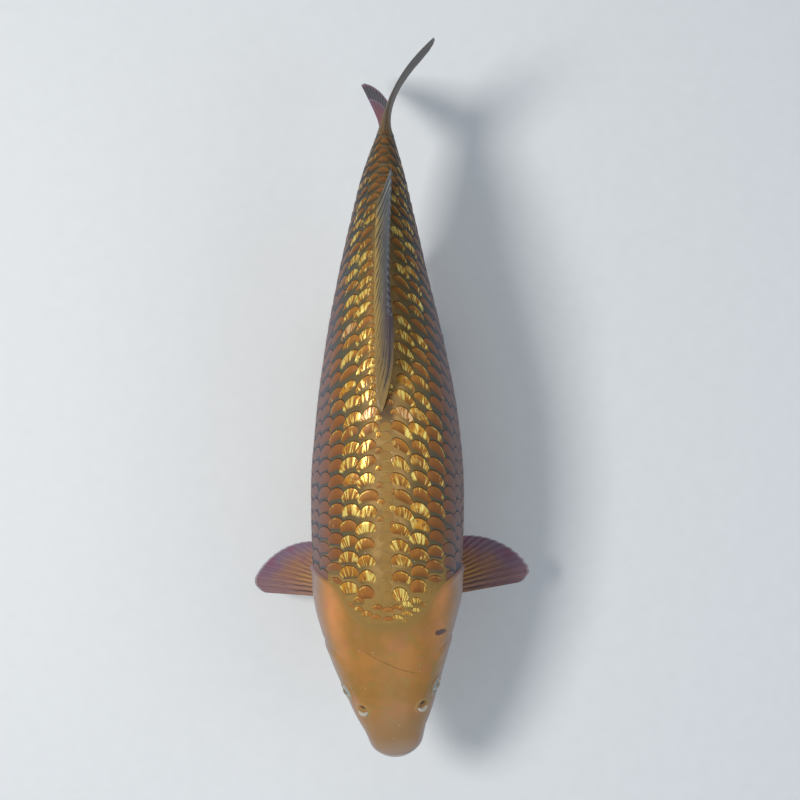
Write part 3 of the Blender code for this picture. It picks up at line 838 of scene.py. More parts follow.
def scale_blank():
    """One scale with unit width and length: root at y = 0, free edge at y = 1, heights in metres."""
    shares = np.array([0, 0.22, 0.42, 0.60, 0.74, 0.86, 0.95, 1.0])
    sides = np.linspace(-1, 1, 10)
    share, side = np.meshgrid(shares, sides, indexing="ij")
    x = np.sin(side * math.pi / 2)
    free = 1 - EDGE_DROP * (1 - np.cos(side * math.pi / 2))
    shown = 1 - (1 - share) * free * LONG
    height = -0.00060 + 0.00135 * share - 0.00062 * np.abs(x) ** 3 * smooth(share, 0.1, 0.8)
    height += 0.00030 * np.sin(math.pi * np.clip((shown - 0.1) / 0.9, 0, 1)) * (1 - x * x)
    height -= 0.00030 * smooth(share, 0.94, 1.0)
    narrow = 0.80 + 0.20 * smooth(share, 0, 0.6)
    top = np.stack([x / 2 * narrow, share * free, height], -1).reshape(-1, 3)
    rows, columns = share.shape
    index = np.arange(rows * columns).reshape(rows, columns)
    faces = [
        [int(index[i, j]), int(index[i, j + 1]), int(index[i + 1, j + 1]), int(index[i + 1, j])]
        for i in range(rows - 1)
        for j in range(columns - 1)
    ]
    border = [*index[0, :-1], *index[:-1, -1], *index[-1, :0:-1], *index[:0:-1, 0]]
    under = rows * columns
    faces += [[int(b), int(a), under] for a, b in zip(border, border[1:] + border[:1])]
    points = np.concatenate([top, [[0, 0.5, float(height.min()) - 0.0003]]])
    own = {"across": np.append(x.ravel(), 0), "shown": np.append(shown.ravel(), 0)}
    mesh = solid("scale_blank", points, faces, own)
    # The patch: the outer face fills most of it, and the hidden one a strip of its own
    patch = mesh.uv_layers.new(name="patch")
    for face in mesh.polygons:
        hidden = under in face.vertices
        for corner in face.loop_indices:
            px, py = points[mesh.loops[corner].vertex_index][:2] + (0.5, 0)
            patch.data[corner].uv = (px, py * 0.16) if hidden else (px, 0.22 + py * 0.78)
    return bpy.data.objects.new("scale_blank", mesh)


def nape_end(aside):
    """How far behind the bare head the small scales of the nape go, this far from the back's middle."""
    return 0.004 + NAPE_REACH * (1 - smooth(aside, 0.028, 0.054))


def scale_places():
    """One row for each scale: round, its free edge's distance along, its kind, width and pitch."""
    fine = np.linspace(0.09, 0.64, 1200)
    rows = np.concatenate([[0], np.cumsum(np.diff(fine) / PITCH((fine[1:] + fine[:-1]) / 2))])
    # The slanted scales of each column lag behind the next outer one's by half a pitch less the slant
    slanted = SLANT(fine) * COLUMN_WIDTH(fine) / PITCH(fine)
    places = []

    def column(aside, k, start, stop, kind, wide=1.0, long=1.0, every=1):
        """A column of scales at aside(along) metres from the back's middle."""
        lag = 0.46 * k - slanted * (COLUMN_PLACES(min(k, SLANT_COLUMNS)) - COLUMN_PLACES(0))
        count = rows / long - lag + rng.uniform(-0.08, 0.08)
        for number in range(math.ceil(count[0]), math.floor(count[-1]) + 1, every):
            free = np.interp(number + rng.uniform(-0.07, 0.07), count, fine)
            moved = aside(free) + rng.uniform(-0.06, 0.06) * COLUMN_WIDTH(free) * wide
            round_it = moved / half_girth(free)
            behind = free - head_edge(round_it)
            nape = nape_end(abs(moved))
            here = NAPE_START < behind < nape if kind == NAPE else behind > nape + NAPE_GAP
            if here and start < free < stop and abs(round_it) < 0.99:
                by_nape = (kind >= 0) * (1 - smooth(behind, 0.030, 0.080))
                by_nape = by_nape * (1 - smooth(abs(moved), 0.026, 0.042))
                broad = wide * rng.uniform(0.92, 1.10) * (1 - NAPE_SLIM * by_nape)
                places.append((round_it, free, kind, broad, long))

    def parted(s, sign, k):
        """How far a column moves aside for the bare strip along the back and the back fin's root."""
        strip = 0.0045 * (sign < 0) * (1 - smooth(k, 1, 3)) * (1 - smooth(s, front - 0.03, front))
        past_front, past_rear = smooth(s, front - 0.02, front + 0.03), smooth(s, rear - 0.05, rear + 0.02)
        return strip + 0.005 * past_front * (1 - past_rear)

    def main_column(sign, k):
        """Where this full-size column runs, on this side."""
        return lambda s: sign * (COLUMN_PLACES(k) * COLUMN_WIDTH(s) + parted(s, sign, k))

    front, rear = DORSAL_BASE
    end = BODY_LENGTH + 0.004
    for sign in (1, -1):
        for k in range(COLUMNS):
            wide = float(COLUMN_PLACES(k + 0.5) - COLUMN_PLACES(k - 0.5))
            column(main_column(sign, k), k, 0, end, k, wide)
        # Small scales beside the back fin's root, and a few before it
        beside, root = sign * 0.53, (front + 0.004, rear - 0.04)
        column(lambda s: DORSAL_ASIDE + beside * COLUMN_WIDTH(s), 0, *root, SHEATH, 0.42, 0.5)
        column(lambda s: sign * 0.0068, sign, front - 0.11, front + 0.008, SHEATH, 0.40, 0.5, 2)
        for k in range(1, 6):
            column(lambda s, k=k: sign * k * NAPE_STEP, k, 0, 0.25, NAPE, 0.66, 0.66)
    column(lambda s: 0.0, 0.4, 0, 0.25, NAPE, 0.66, 0.66)
    column(lambda s: 0.0, 0.4, 0, front - 0.012, MIDLINE, 0.62, 0.62)
    column(lambda s: 0.0, 0.4, rear + 0.010, end, MIDLINE, 0.95)
    return np.array(places)


def flat_coat(blank, places):
    """The blank copied onto every root of the flat pattern, where X is the way round in metres."""
    pitch = PITCH(places[:, FREE]) * places[:, LONG_BY]
    root = places[:, FREE] - LONG * pitch
    girth = half_girth(np.clip(places[:, FREE] - pitch / 2, 0.05, BODY_LENGTH))
    roots = np.stack([places[:, ROUND] * girth, root, np.zeros(len(places))], -1)
    wide = WIDE * COLUMN_WIDTH(places[:, FREE]) * places[:, BROAD]
    sizes = np.stack([wide, LONG * pitch, places[:, LIFT]], -1)
    pattern = bpy.data.meshes.new("pattern")
    pattern.from_pydata(roots.tolist(), [], [])
    pattern.attributes.new("size", "FLOAT_VECTOR", "POINT").data.foreach_set("vector", sizes.ravel())
    pattern.attributes.new("number", "INT", "POINT").data.foreach_set("value", np.arange(len(places)))
    holder = bpy.data.objects.new("pattern", pattern)
    scene.collection.objects.link(holder)

    tree = bpy.data.node_groups.new("coat of scales", "GeometryNodeTree")
    tree.interface.new_socket("Geometry", in_out="OUTPUT", socket_type="NodeSocketGeometry")
    inputs = {
        "Roots": ("NodeSocketGeometry", None),
        "Blank": ("NodeSocketObject", blank),
        "Most turn": ("NodeSocketFloat", 0.13),
        "Seed": ("NodeSocketInt", 3),
        "Finish": ("NodeSocketMaterial", SCALE_FINISH),
    }
    made = {
        name: tree.interface.new_socket(name, in_out="INPUT", socket_type=kind)
        for name, (kind, _) in inputs.items()
    }
    start = tree.nodes.new("NodeGroupInput")
    given = {name: Wire(tree, start.outputs[name]) for name in inputs}
    wire = Wire(tree)
    shape = wire.node("GeometryNodeObjectInfo", sockets={"Object": given["Blank"]}, out=4)
    size = wire.node("GeometryNodeInputNamedAttribute", {"data_type": "FLOAT_VECTOR"}, {"Name": "size"})
    turn = wire.node(
        "FunctionNodeRandomValue",
        {"data_type": "FLOAT"},
        {2: given["Most turn"] * -1, 3: given["Most turn"], "Seed": given["Seed"]},
        out=1,
    )
    sockets = {"Points": given["Roots"], "Instance": shape, "Scale": size}
    sockets["Rotation"] = wire.joined(0.0, 0.0, turn)
    copies = wire.node("GeometryNodeInstanceOnPoints", sockets=sockets)
    real = wire.node("GeometryNodeRealizeInstances", sockets={"Geometry": copies})
    done = wire.node("GeometryNodeSetMaterial", sockets={"Geometry": real, "Material": given["Finish"]})
    tree.links.new(done.socket, tree.nodes.new("NodeGroupOutput").inputs[0])

    modifier = holder.modifiers.new("coat of scales", "NODES")
    modifier.node_group = tree
    for name, (_, value) in inputs.items():
        if value is not None:
            modifier[made[name].identifier] = value
    graph = bpy.context.evaluated_depsgraph_get()
    coat = bpy.data.meshes.new_from_object(holder.evaluated_get(graph), depsgraph=graph)
    holder.modifiers.remove(modifier)
    bpy.data.objects.remove(holder)
    return coat, roots, girth


def read(mesh, name, kind=np.float32):
    """A mesh attribute's values."""
    data = mesh.attributes[name].data
    values = np.empty(len(data), kind)
    data.foreach_get("value", values)
    return values


def wrapped(name, coat, places, roots, girth):
    """The flat coat wrapped round the body, with what each scale's colours need."""
    number = read(coat, "number", np.int32)
    flat = np.empty(len(coat.vertices) * 3, np.float32)
    coat.vertices.foreach_get("co", flat)
    flat = flat.reshape(-1, 3).astype(float)
    centre = places[number, ROUND]
    sideways = flat[:, 0] - roots[number, 0]
    outer = np.sign(centre) * sideways
    slant = SLANT(flat[:, 1]) + LEFT_SLANT * np.sign(centre) * smooth(-flat[:, 1], -0.5, -0.3)
    slant = slant * smooth(np.abs(centre), 0.02, 0.05) * (1 - smooth(np.abs(centre), 0.32, 0.62))
    along = flat[:, 1] - slant * outer
    round_it = centre + sideways / girth[number]
    turn = turn_at(np.clip(along, 0.01, BODY_LENGTH), round_it)
    points = surface(along, turn) + outward(along, turn) * (flat[:, 2] - COAT_DEPTH)[:, None]
    pinch = 1 - 0.35 * smooth(along, BODY_LENGTH - 0.006, BODY_LENGTH + 0.012)
    points[:, 0] = spine(along)[:, 0] * (1 - pinch) + points[:, 0] * pinch
    coat.vertices.foreach_set("co", points.astype(np.float32).ravel())
    own = {
        "outer": np.sign(centre) * read(coat, "across"),
        "chance": places[number, CHANCE],
        "gold_and_glint": places[number, GOLD_AND_GLINT],
        "faint": places[number, FAINT],
        "small": places[number, SMALL],
        "first": places[number, FIRST],
        "kind": places[number, KIND],
        "along": along,
        "round": np.abs(round_it),
    }
    keep(coat, own)

    # Each scale has a patch of its own, its middle at its free edge's place on the unwrapped body
    corner = np.empty(len(coat.loops), np.int32)
    coat.loops.foreach_get("vertex_index", corner)
    patch = np.empty(len(coat.loops) * 2, np.float32)
    coat.uv_layers["patch"].data.foreach_get("uv", patch)
    patch = patch.reshape(-1, 2)
    which = number[corner]
    spacing = COLUMN_WIDTH(places[which, FREE]) / half_girth(places[which, FREE])
    kind = places[which, KIND]
    wide = np.select([kind == SHEATH, kind == MIDLINE], [0.05, 0.10], 0.20 * places[which, BROAD]) * spacing
    tall = 0.60 * PITCH(places[which, FREE]) * places[which, LONG_BY]
    place_u = 0.5 + 0.46 * places[which, ROUND] + (patch[:, 0] - 0.5) * wide
    place_v = (places[which, FREE] - 0.10) / 0.56 + (patch[:, 1] - 0.5) * tall / 0.56
    bake = coat.uv_layers.new(name="OFBake")
    bake.data.foreach_set("uv", np.stack([place_u, place_v], -1).astype(np.float32).ravel())
    coat.uv_layers.remove(coat.uv_layers["patch"])
    coat.uv_layers["OFBake"].active_render = True
    for label in ("number", "size"):
        if label in coat.attributes:
            coat.attributes.remove(coat.attributes[label])
    coat.name = name
    coat.shade_smooth()
    return coat


def scale_paint(wire):
    across_it, shown, outer = wire.own("across"), wire.own("shown"), wire.own("outer")
    names = "chance", "gold_and_glint", "faint", "small", "first"
    chance, gold_and_glint, faint, small, first = (wire.own(name) for name in names)
    along, around = wire.own("along"), wire.own("round")
    side = across_it.size()
    open_part = shown + first * 0.30
    grain = wire.noise(500, 3, rough=0.6)
    cloud = wire.noise(60, 3)
    mottle = wire.noise(230, 3, rough=0.6)

    # Copper-brown centres that turn mauve on the flanks and pale under the belly
    copper = chance.mix(colour(146, 90, 46), colour(170, 110, 56))
    copper = (mottle.rise(0.45, 0.65) * 0.4).mix(copper, colour(178, 114, 40))
    fanned = across_it / (shown * 1.1 + 0.7)
    lines = wire.noise(1, 2, where=wire.joined(fanned * 8, chance * 90, shown * 0.8), rough=0.55)
    copper = (lines.rise(0.44, 0.62) * 0.3).mix(copper, colour(198, 132, 62))
    copper = (open_part.rise(0.80, 0.35) * 0.8).mix(copper, colour(116, 72, 30))
    copper = (around.rise(0.08, 0.20) * 0.75).mix(copper, colour(132, 80, 44))
    copper = (around.rise(0.18, 0.34) * 0.8).mix(copper, colour(124, 102, 102))
    copper = around.rise(0.50, 0.74).mix(copper, colour(196, 152, 100))

    net, stalk_dark_and_shade = net_tone(wire, around, along, cloud)
    net = (small * around.rise(0.34, 0.24) * 0.85).mix(net, cloud.mix(*NAPE_TAN))

    # Gold leaf that fans out from the root in streaks, most on the outer half and its free edge.
    # The brightest streaks and the bright line along the free edge are painted glints, where light would
    # flash off the scales, over their own gold
    sheet = wire.noise(1, 1, where=wire.joined(fanned * 1.9, chance * 57, shown * 0.9 + 4.0))
    amount = gold_and_glint * 0.9 + outer * 0.16 + (sheet - 0.5) * 1.4
    leaf_and_glint = lines.rise(0.47, 0.55) * amount.rise(0.46, 0.66)
    frosted = chance.rise(0.84, 0.86) * gold_and_glint.rise(0.25, 0.5)
    leaf_and_glint = wire.math("MAXIMUM", leaf_and_glint, frosted * mottle.rise(0.38, 0.60) * 0.75)
    edge_gold_glint = shown.near(0.89, 0.09) * (outer * 0.5 + sheet - 0.5).rise(-0.35, 0.25) * gold_and_glint.rise(0.12, 0.4)
    leaf_and_glint = wire.math("MAXIMUM", leaf_and_glint, edge_gold_glint * lines.rise(0.36, 0.46))
    leaf_and_glint = leaf_and_glint * gold_and_glint.rise(0.03, 0.12) * open_part.rise(0.18, 0.42)
    tone = (gold_and_glint * shown.rise(0.25, 0.8) * 0.6).mix(copper, colour(176, 120, 38))
    leaf_glint_tone = lines.rise(0.47, 0.62).mix(colour(224, 158, 48), colour(255, 230, 128))
    leaf_glint_tone = (chance.rise(0.06, 0.04) * 0.7).mix(leaf_glint_tone, colour(232, 178, 140))
    tone = leaf_and_glint.mix(tone, leaf_glint_tone)

    # The pocket's skin covers the root and creeps up both sides, and a thin line of painted shade edges the
    # tip, as under a free edge
    slim = along.rise(0.30, 0.46) * around.rise(0.4, 0.3)
    border = side * side * (slim * 0.20 + 0.36) + small * 0.30 + slim * 0.11 + 0.28 + (mottle - 0.5) * 0.14
    webbed = (open_part - border).rise(0.05, -0.06)
    webbed = wire.math("MAXIMUM", webbed, (side + small * 0.12).rise(0.88, 0.99) * 0.9)
    tone = (webbed * (1 - leaf_and_glint * (1 - small) * 0.45)).mix(tone, net)
    pale = shown.near(0.90, 0.035) * around.rise(0.2, 0.36) * around.rise(0.6, 0.5)
    tone = (pale * 0.35).mix(tone, colour(132, 128, 134))
    # Painted shade: a thin dark line along the tip of each scale
    free_edge_shade = shown.rise(0.925, 0.985) * (1 - small * 0.6) * (1 - stalk_dark_and_shade * 0.5)
    free_edge_shade_tone = around.rise(0.5, 0.75).mix(colour(50, 40, 34), colour(128, 104, 80))
    tone = (free_edge_shade * 0.85).mix(tone, free_edge_shade_tone)
    # The stalk's upper side darkens further: partly its own colour, partly painted shade
    tone = (stalk_dark_and_shade * 0.5).mix(tone, colour(44, 38, 32))
    tan = (mottle.rise(0.5, 0.7) * 0.3).mix(net, colour(178, 116, 60))
    tone = faint.mix(tone, tan)
    pore = across_it.near(0.0, 0.13) * shown.near(0.55, 0.22) * wire.own("kind").near(LATERAL_LINE, 0.4)
    tone = (pore * 0.7).mix(tone, colour(54, 46, 42))
    ridges = wire.math("SINE", shown * 70) * 0.5 + 0.5
    bump = lines * 0.7 + ridges * 0.12 + grain * 0.15
    return {
        "Base Color": tone,
        "Metallic": leaf_and_glint * 0.45 * (1 - faint),
        "Roughness": grain * 0.12 + 0.44 + webbed * 0.24 - leaf_and_glint * 0.20,
        "Normal": bump.relief(0.0004, 0.6),
    }


SCALE_FINISH = finish(
    "koi scales", scale_paint, Specular_IOR_Level=0.18, Coat_Weight=0.04, Coat_Roughness=0.12
)


def scales():
    places = scale_places()
    count = len(places)
    from_back = np.abs(places[:, ROUND]) * half_girth(places[:, FREE])
    chance = rng.uniform(0, 1, count)
    middle = places[:, KIND] == MIDLINE
    sheath = places[:, KIND] == SHEATH
    # Gold with painted glints, most on the scales a little way either side of the back, where light flashes
    # off them
    shine = hump(from_back, 0.027, 0.023) * (1 - 0.3 * smooth(places[:, FREE], 0.44, 0.60))
    gold_and_glint = np.clip(shine * (0.30 + 1.05 * rng.uniform(0, 1, count)), 0, 1)
    gold_and_glint = np.where(sheath, 0.2 + 0.6 * rng.uniform(0, 1, count), gold_and_glint)
    behind = places[:, FREE] - head_edge(places[:, ROUND])
    nape = (1 - smooth(behind, 0.012, 0.046)) * (from_back < 0.07)
    before_fin = middle & (places[:, FREE] < DORSAL_BASE[0])
    nape = np.where(before_fin, 1, nape)
    # The first full-size scales behind the nape's small ones show more of their length
    beyond = (behind - nape_end(from_back)) / PITCH(places[:, FREE])
    first = (1 - smooth(beyond, 0.9, 1.3)) * (places[:, KIND] >= 0) * (1 - smooth(from_back, 0.030, 0.045))
    faint = np.where(middle, 0.7 + 0.3 * rng.uniform(0, 1, count), 0)
    faint *= places[:, FREE] < DORSAL_BASE[0] + 0.01
    faint = np.where(sheath, 0.35 * rng.uniform(0, 1, count), faint)
    faint = np.maximum(faint, 0.45 * (1 - smooth(behind, 0.004, 0.014)) * (from_back < 0.06))
    lift = np.where(before_fin, 0.16, 1.0) * (1 - 0.5 * nape) * np.where(sheath, 0.7, 1)
    lift *= 1 - 0.45 * smooth(from_back, 0.05, 0.09)
    lift *= 1 - 0.5 * smooth(places[:, FREE], 0.50, BODY_LENGTH)
    places = np.column_stack([places, lift, chance, gold_and_glint, faint, nape, first])
    blank = scale_blank()
    groups = {"scales_left": places[:, ROUND] > 0.04, "scales_right": places[:, ROUND] < -0.04}
    groups["scales_back"] = ~(groups["scales_left"] | groups["scales_right"])
    for name, chosen in groups.items():
        coat, roots, girth = flat_coat(blank, places[chosen])
        mesh = wrapped(name, coat, places[chosen], roots, girth)
        rider(name, mesh, SCALE_FINISH, "scaled_skin")
    bpy.data.objects.remove(blank)


scales()

# ------------------------------------------------------------------ eyes
# A glossy ball set deep in each socket, whose front bulges slightly: a black pupil in a brassy iris with a
# thin bright ring, and a silvery rim where it dips under the skin, beyond which a dark band is painted shade
# under the socket's edge.
EYE_ROUND = 48


def ball_with_front(centre, radius, gaze):
    """A ball whose front bulges a little, and how far each point lies from the line of sight."""
    side = unit(np.cross(gaze, [0, 0, 1.0]))
    up = np.cross(side, gaze)
    polar = np.concatenate([np.linspace(2, 60, 26), np.linspace(66, 178, 16)])
    turns = 2 * math.pi * np.arange(EYE_ROUND) / EYE_ROUND
    angle, turn = np.meshgrid(np.radians(polar), turns, indexing="ij")
    bulge = radius - 0.0003 + 0.0006 * np.exp(-((angle / 0.55) ** 2))
    ring = np.sin(angle)[..., None] * (np.cos(turn)[..., None] * side + np.sin(turn)[..., None] * up)
    way = np.cos(angle)[..., None] * gaze + ring
    points = centre + way * bulge[..., None]
    tips = [centre + gaze * (radius + 0.0003), centre - gaze * (radius - 0.0003)]
    off = np.append((angle * radius).ravel(), [0, math.pi * radius])
    spoke = np.append((np.sin(turn) * np.ones_like(angle)).ravel(), [0, 0])
    flat = np.concatenate([points.reshape(-1, 3), tips])
    faces = closed_tube_faces(len(polar), EYE_ROUND, len(flat) - 2, len(flat) - 1)
    return flat, faces, {"off": off, "spoke": spoke}


def eye_paint(wire):
    off = wire.own("off") * 1000
    fleck = wire.noise(1400, 3, rough=0.7)
    wide = wire.noise(300, 2)
    ragged = off + (fleck - 0.5) * 0.6
    brass = fleck.mix(colour(110, 80, 36), colour(206, 166, 88))
    brass = (wire.own("spoke").rise(0.1, 0.9) * 0.6).mix(brass, colour(62, 48, 34))
    tone = ragged.rise(3.1, 2.9).mix(brass, colour(232, 192, 100))
    tone = off.rise(2.75, 2.6).mix(tone, colour(4, 4, 6))
    silver = wide.mix(colour(150, 156, 146), colour(188, 190, 178))
    tone = ragged.rise(5.4, 6.4).mix(tone, silver)
    # Painted shade: a dark band where the ball dips under the skin
    tone = (off.near(7.4, 0.5) * 0.7).mix(tone, colour(58, 60, 58))
    return {
        "Base Color": tone,
        "Roughness": fleck * 0.10 + 0.10,
        "Metallic": ragged.rise(2.7, 3.1) * ragged.rise(7.0, 5.0) * 0.45,
    }


EYE_FINISH = finish("eye", eye_paint, Coat_Weight=1.0, Coat_Roughness=0.03)
for side, (centre, radius, normal) in EYES.items():
    level = unit(normal * np.array([1, 1, 0.35]))
    eye = solid(f"eyeball_{side}", *ball_with_front(centre, radius, level))
    rider(f"eyeball_{side}", eye, EYE_FINISH, "eye", f"eye_{side}")

# ------------------------------------------------------------------ nostril bridges and barbels
# Soft outgrowths of the skin: a pale flap across each nostril, and two feelers at each side of the
# mouth, the rear one longer, that taper to a blunt tip.
TUBE_ROUND = 14


def tube(line, radii, flatten=1.0, flat_way=(0, 0, 1)):
    """A closed round tube along this line of points, thinner by flatten in one direction."""
    ahead = unit(np.gradient(line, axis=0))
    side = unit(np.cross(ahead, np.asarray(flat_way, float)))
    up = np.cross(side, ahead)
    turns = 2 * math.pi * np.arange(TUBE_ROUND) / TUBE_ROUND
    ring = side[:, None] * np.cos(turns)[None, :, None]
    ring = ring + up[:, None] * (np.sin(turns) * flatten)[None, :, None]
    points = line[:, None] + ring * np.asarray(radii)[:, None, None]
    flat = np.concatenate([points.reshape(-1, 3), line[:1], line[-1:]])
    return flat, closed_tube_faces(len(line), TUBE_ROUND, len(flat) - 2, len(flat) - 1)


def flap_paint(wire):
    cloud = wire.noise(380, 3)
    tone = cloud.mix(colour(206, 200, 186), colour(164, 150, 128))
    return {"Base Color": tone, "Roughness": cloud * 0.15 + 0.35, "Normal": cloud.relief(0.0002, 0.5)}


def barbel_paint(wire):
    cloud = wire.noise(300, 3)
    tip = wire.own("out")
    tone = cloud.mix(colour(190, 146, 110), colour(164, 112, 78))
    tone = tip.rise(0.4, 1.0).mix(tone, colour(172, 134, 118))
    rings = wire.math("SINE", tip * 120) * 0.5 + 0.5
    bump = rings + cloud
    return {"Base Color": tone, "Roughness": cloud * 0.15 + 0.38, "Normal": bump.relief(0.00012, 0.5)}


FLAP_FINISH = finish("nostril flap skin", flap_paint, Coat_Weight=0.3, Coat_Roughness=0.2)
BARBEL_FINISH = finish("barbel skin", barbel_paint, Coat_Weight=0.3, Coat_Roughness=0.2)
for side, (centre, normal, back_way, out_way) in NOSTRILS.items():
    bend = np.linspace(-1.25, 1.25, 21)
    line = centre + np.outer(0.0014 - 0.0044 * np.cos(bend), back_way)
    line += np.outer(0.0056 * np.sin(bend) - 0.0004, out_way) + np.outer(0.0010 * np.cos(bend), normal)
    radii = 0.0005 + 0.0016 * np.cos(bend * 1.15) ** 0.7
    flap = solid(f"nostril_flap_{side}", *tube(line, radii, 1.15, normal))
    rider(f"nostril_flap_{side}", flap, FLAP_FINISH, "head_skin")


def feeler(node):
    """A barbel's line in the frame: from deep in the lip at its highest end to its lowest point."""
    points = np.array([vertex.co for vertex in frame["nodes"][node].data.vertices])
    order = np.argsort(points[:, 2])
    tip = points[order[:6]].mean(0)
    root = points[order[-9:]].mean(0)
    middle_height = (root[2] + tip[2]) / 2
    middle = points[np.abs(points[:, 2] - middle_height).argsort()[:12]].mean(0)
    v = np.linspace(-0.12, 1, 26)[:, None]
    bend = 2 * middle - (root + tip) / 2
    return root * (1 - v) ** 2 + bend * 2 * v * (1 - v) + tip * v**2


for place, thick in (("front", 0.0011), ("rear", 0.0016)):
    for side in ("left", "right"):
        node = f"barbel_{place}_{side}"
        line = feeler(node)
        inwards = 0.0044 if place == "front" else 0.0024
        line[:, 0] -= inwards if side == "left" else -inwards
        v = np.linspace(0, 1, len(line))
        blunt = np.sqrt(np.clip((1.02 - v) * 14, 0, 1))
        radii = thick * (1.1 - 0.7 * v) * (1 + 0.2 * np.exp(-v * 14)) * blunt
        points, faces = tube(line, radii, 1.0, (0, 1, 0))
        out = np.append(np.repeat(v, TUBE_ROUND), [0, 1])
        soft = solid(f"feeler_{place}_{side}", points, faces, {"out": out})
        rider(f"feeler_{place}_{side}", soft, BARBEL_FINISH, "lip_skin", node)

# ------------------------------------------------------------------ fins
# Thin skins stretched over bony rays that spread from a fleshy root. Each ray stands a little proud
# of the skin on both faces, forks towards the margin, and the margin dips between the ray ends.
FIN_LIFT = 0.0011  # start of a fin off the frame's body surface
BURIED = 0.07  # share of a ray's length that is buried in the body
STEPS_PER_RAY = 8
FIN_STEPS = 34


def slerp(first, last, share):
    between = math.acos(float(np.dot(first, last)))
    share = share[..., None]
    return (np.sin((1 - share) * between) * first + np.sin(share * between) * last) / math.sin(between)


def fan(base, turns, lead, trail, length, spread, drift=1.0, bow=(0, 0, 0)):
    """The middle of a fin whose rays start along the body and turn from lead to trail.

    drift under 1 takes the root to its last turn early, and bow bends the first rays.
    """

    def middle(u, v):
        along = base[0] + (base[1] - base[0]) * u
        turn = turns[0] + (turns[1] - turns[0]) * u**drift
        start = surface(along, turn) + outward(along, turn) * FIN_LIFT
        way = slerp(unit(np.array(lead)), unit(np.array(trail)), u**spread)
        bent = np.array(bow) * ((1 - u) ** 4 * 4 * v * (1 - v))[..., None]
        return start + way * (length(u) * v)[..., None] + bent

    return middle


FIN_MARGIN = 0.0010  # roughly every fin's thickness at its margin


def fin(name, middle, rays, root, margin, material, slot, *nodes, pleat=0.0004, notch=0.018, even=1.0):
    """A closed fin. root and margin are roughly its thickness there, and pleat how far it folds at each ray.

    root may be a function of u. even under 1 crowds the rays less at the leading edge.
    """
    share = np.linspace(0, 1, rays * STEPS_PER_RAY + 1)
    outwards = np.concatenate([[-BURIED], np.linspace(0, 1, FIN_STEPS)])
    step, v = np.meshgrid(share, outwards, indexing="ij")
    u = step**even
    far = np.maximum(v, 0)
    phase = step * rays + 0.16 * np.sin(5.2 * v + 7 * step) * far * (1 - far)
    forked = 0.35 * smooth(v, 0.45, 0.7)
    ridge = 0.5 + 0.5 * ((1 - forked) * np.cos(2 * math.pi * phase) + forked * np.cos(4 * math.pi * phase))
    between = 0.5 - 0.5 * np.cos(2 * math.pi * phase)
    points = middle(u, np.where(v > 0, v * (1 - notch * between * far**3), v))
    small = 0.004
    ahead = middle(u, np.minimum(v + small, 1)) - middle(u, np.minimum(v + small, 1) - 2 * small)
    flat_v = np.maximum(v, 0.02)
    over = middle(np.minimum(u + small, 1), flat_v) - middle(np.maximum(u - small, 0), flat_v)
    normal = unit(np.cross(ahead, over))
    at_root = root(u) if callable(root) else root
    half = margin * 0.42 + (at_root - margin) * (1 - far) ** 3 / 2
    half = half + 0.00028 * ridge * (1 - 0.55 * v) + 0.0004 * hump(step, 0, 0.035) * (1 - 0.6 * v)
    rim = np.minimum(np.minimum(step, 1 - step) * rays * 2.5, (1 - v) * 16)
    half = half * np.sqrt(np.clip(rim, 0.03, 1))
    fold = pleat * (1 + hump(step, 0, 0.35)) * np.cos(2 * math.pi * phase) * far**0.7
    points = points + normal * fold[..., None]

    # Fitted to the frame's solids, so that the tips lie where theirs do
    thick = normal * half[..., None]
    seen = np.concatenate([(points + thick)[:, 1:], (points - thick)[:, 1:]])
    low, high = seen.min((0, 1)), seen.max((0, 1))
    boxes = np.array([[list(corner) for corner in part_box(node)] for node in nodes])
    goal_low, goal_high = boxes[:, 0].min(0), boxes[:, 1].max(0)
    fitted = goal_low + (points - low) / (high - low) * (goal_high - goal_low)
    points = points * (1 - far[..., None]) + fitted * far[..., None]

    rows, columns = u.shape
    flat = np.concatenate([(points + thick).reshape(-1, 3), (points - thick).reshape(-1, 3)])
    index = np.arange(rows * columns).reshape(rows, columns)
    other = index + rows * columns
    quads = np.stack([index[:-1, :-1], index[:-1, 1:], index[1:, 1:], index[1:, :-1]], -1).reshape(-1, 4)
    faces = quads.tolist() + (quads + rows * columns)[:, ::-1].tolist()
    edge = [*zip(index[:-1, 0], other[:-1, 0]), *zip(index[-1, :-1], other[-1, :-1])]
    edge += [*zip(index[:0:-1, -1], other[:0:-1, -1]), *zip(index[0, :0:-1], other[0, :0:-1])]
    for (a, c), (b, d) in zip(edge, edge[1:] + edge[:1]):
        faces.append([int(b), int(a), int(c), int(d)])
    own = {"phase": np.tile(phase.ravel(), 2), "out": np.tile(v.ravel(), 2), "over": np.tile(step.ravel(), 2)}
    return rider(name, solid(name, flat, faces, own), material, slot, *nodes)


def rays_of(wire, wobble):
    """How high the fin stands at this place between its rays, from -1 in a groove to 1 on a ray."""
    turn = wire.math("COSINE", wobble * (2 * math.pi))
    fork = wire.math("COSINE", wobble * (4 * math.pi))
    forked = wire.own("out").rise(0.42, 0.70) * 0.4
    return turn * (1 - forked) + fork * forked


def fin_relief(wire, ridge, wobble, grain):
    joints = wire.math("SINE", wire.own("out") * 210 + wobble) * 0.5 + 0.5
    return (ridge * 0.5 + joints * 0.12 * wire.own("out") + grain * 0.2).relief(0.0005, 0.6)


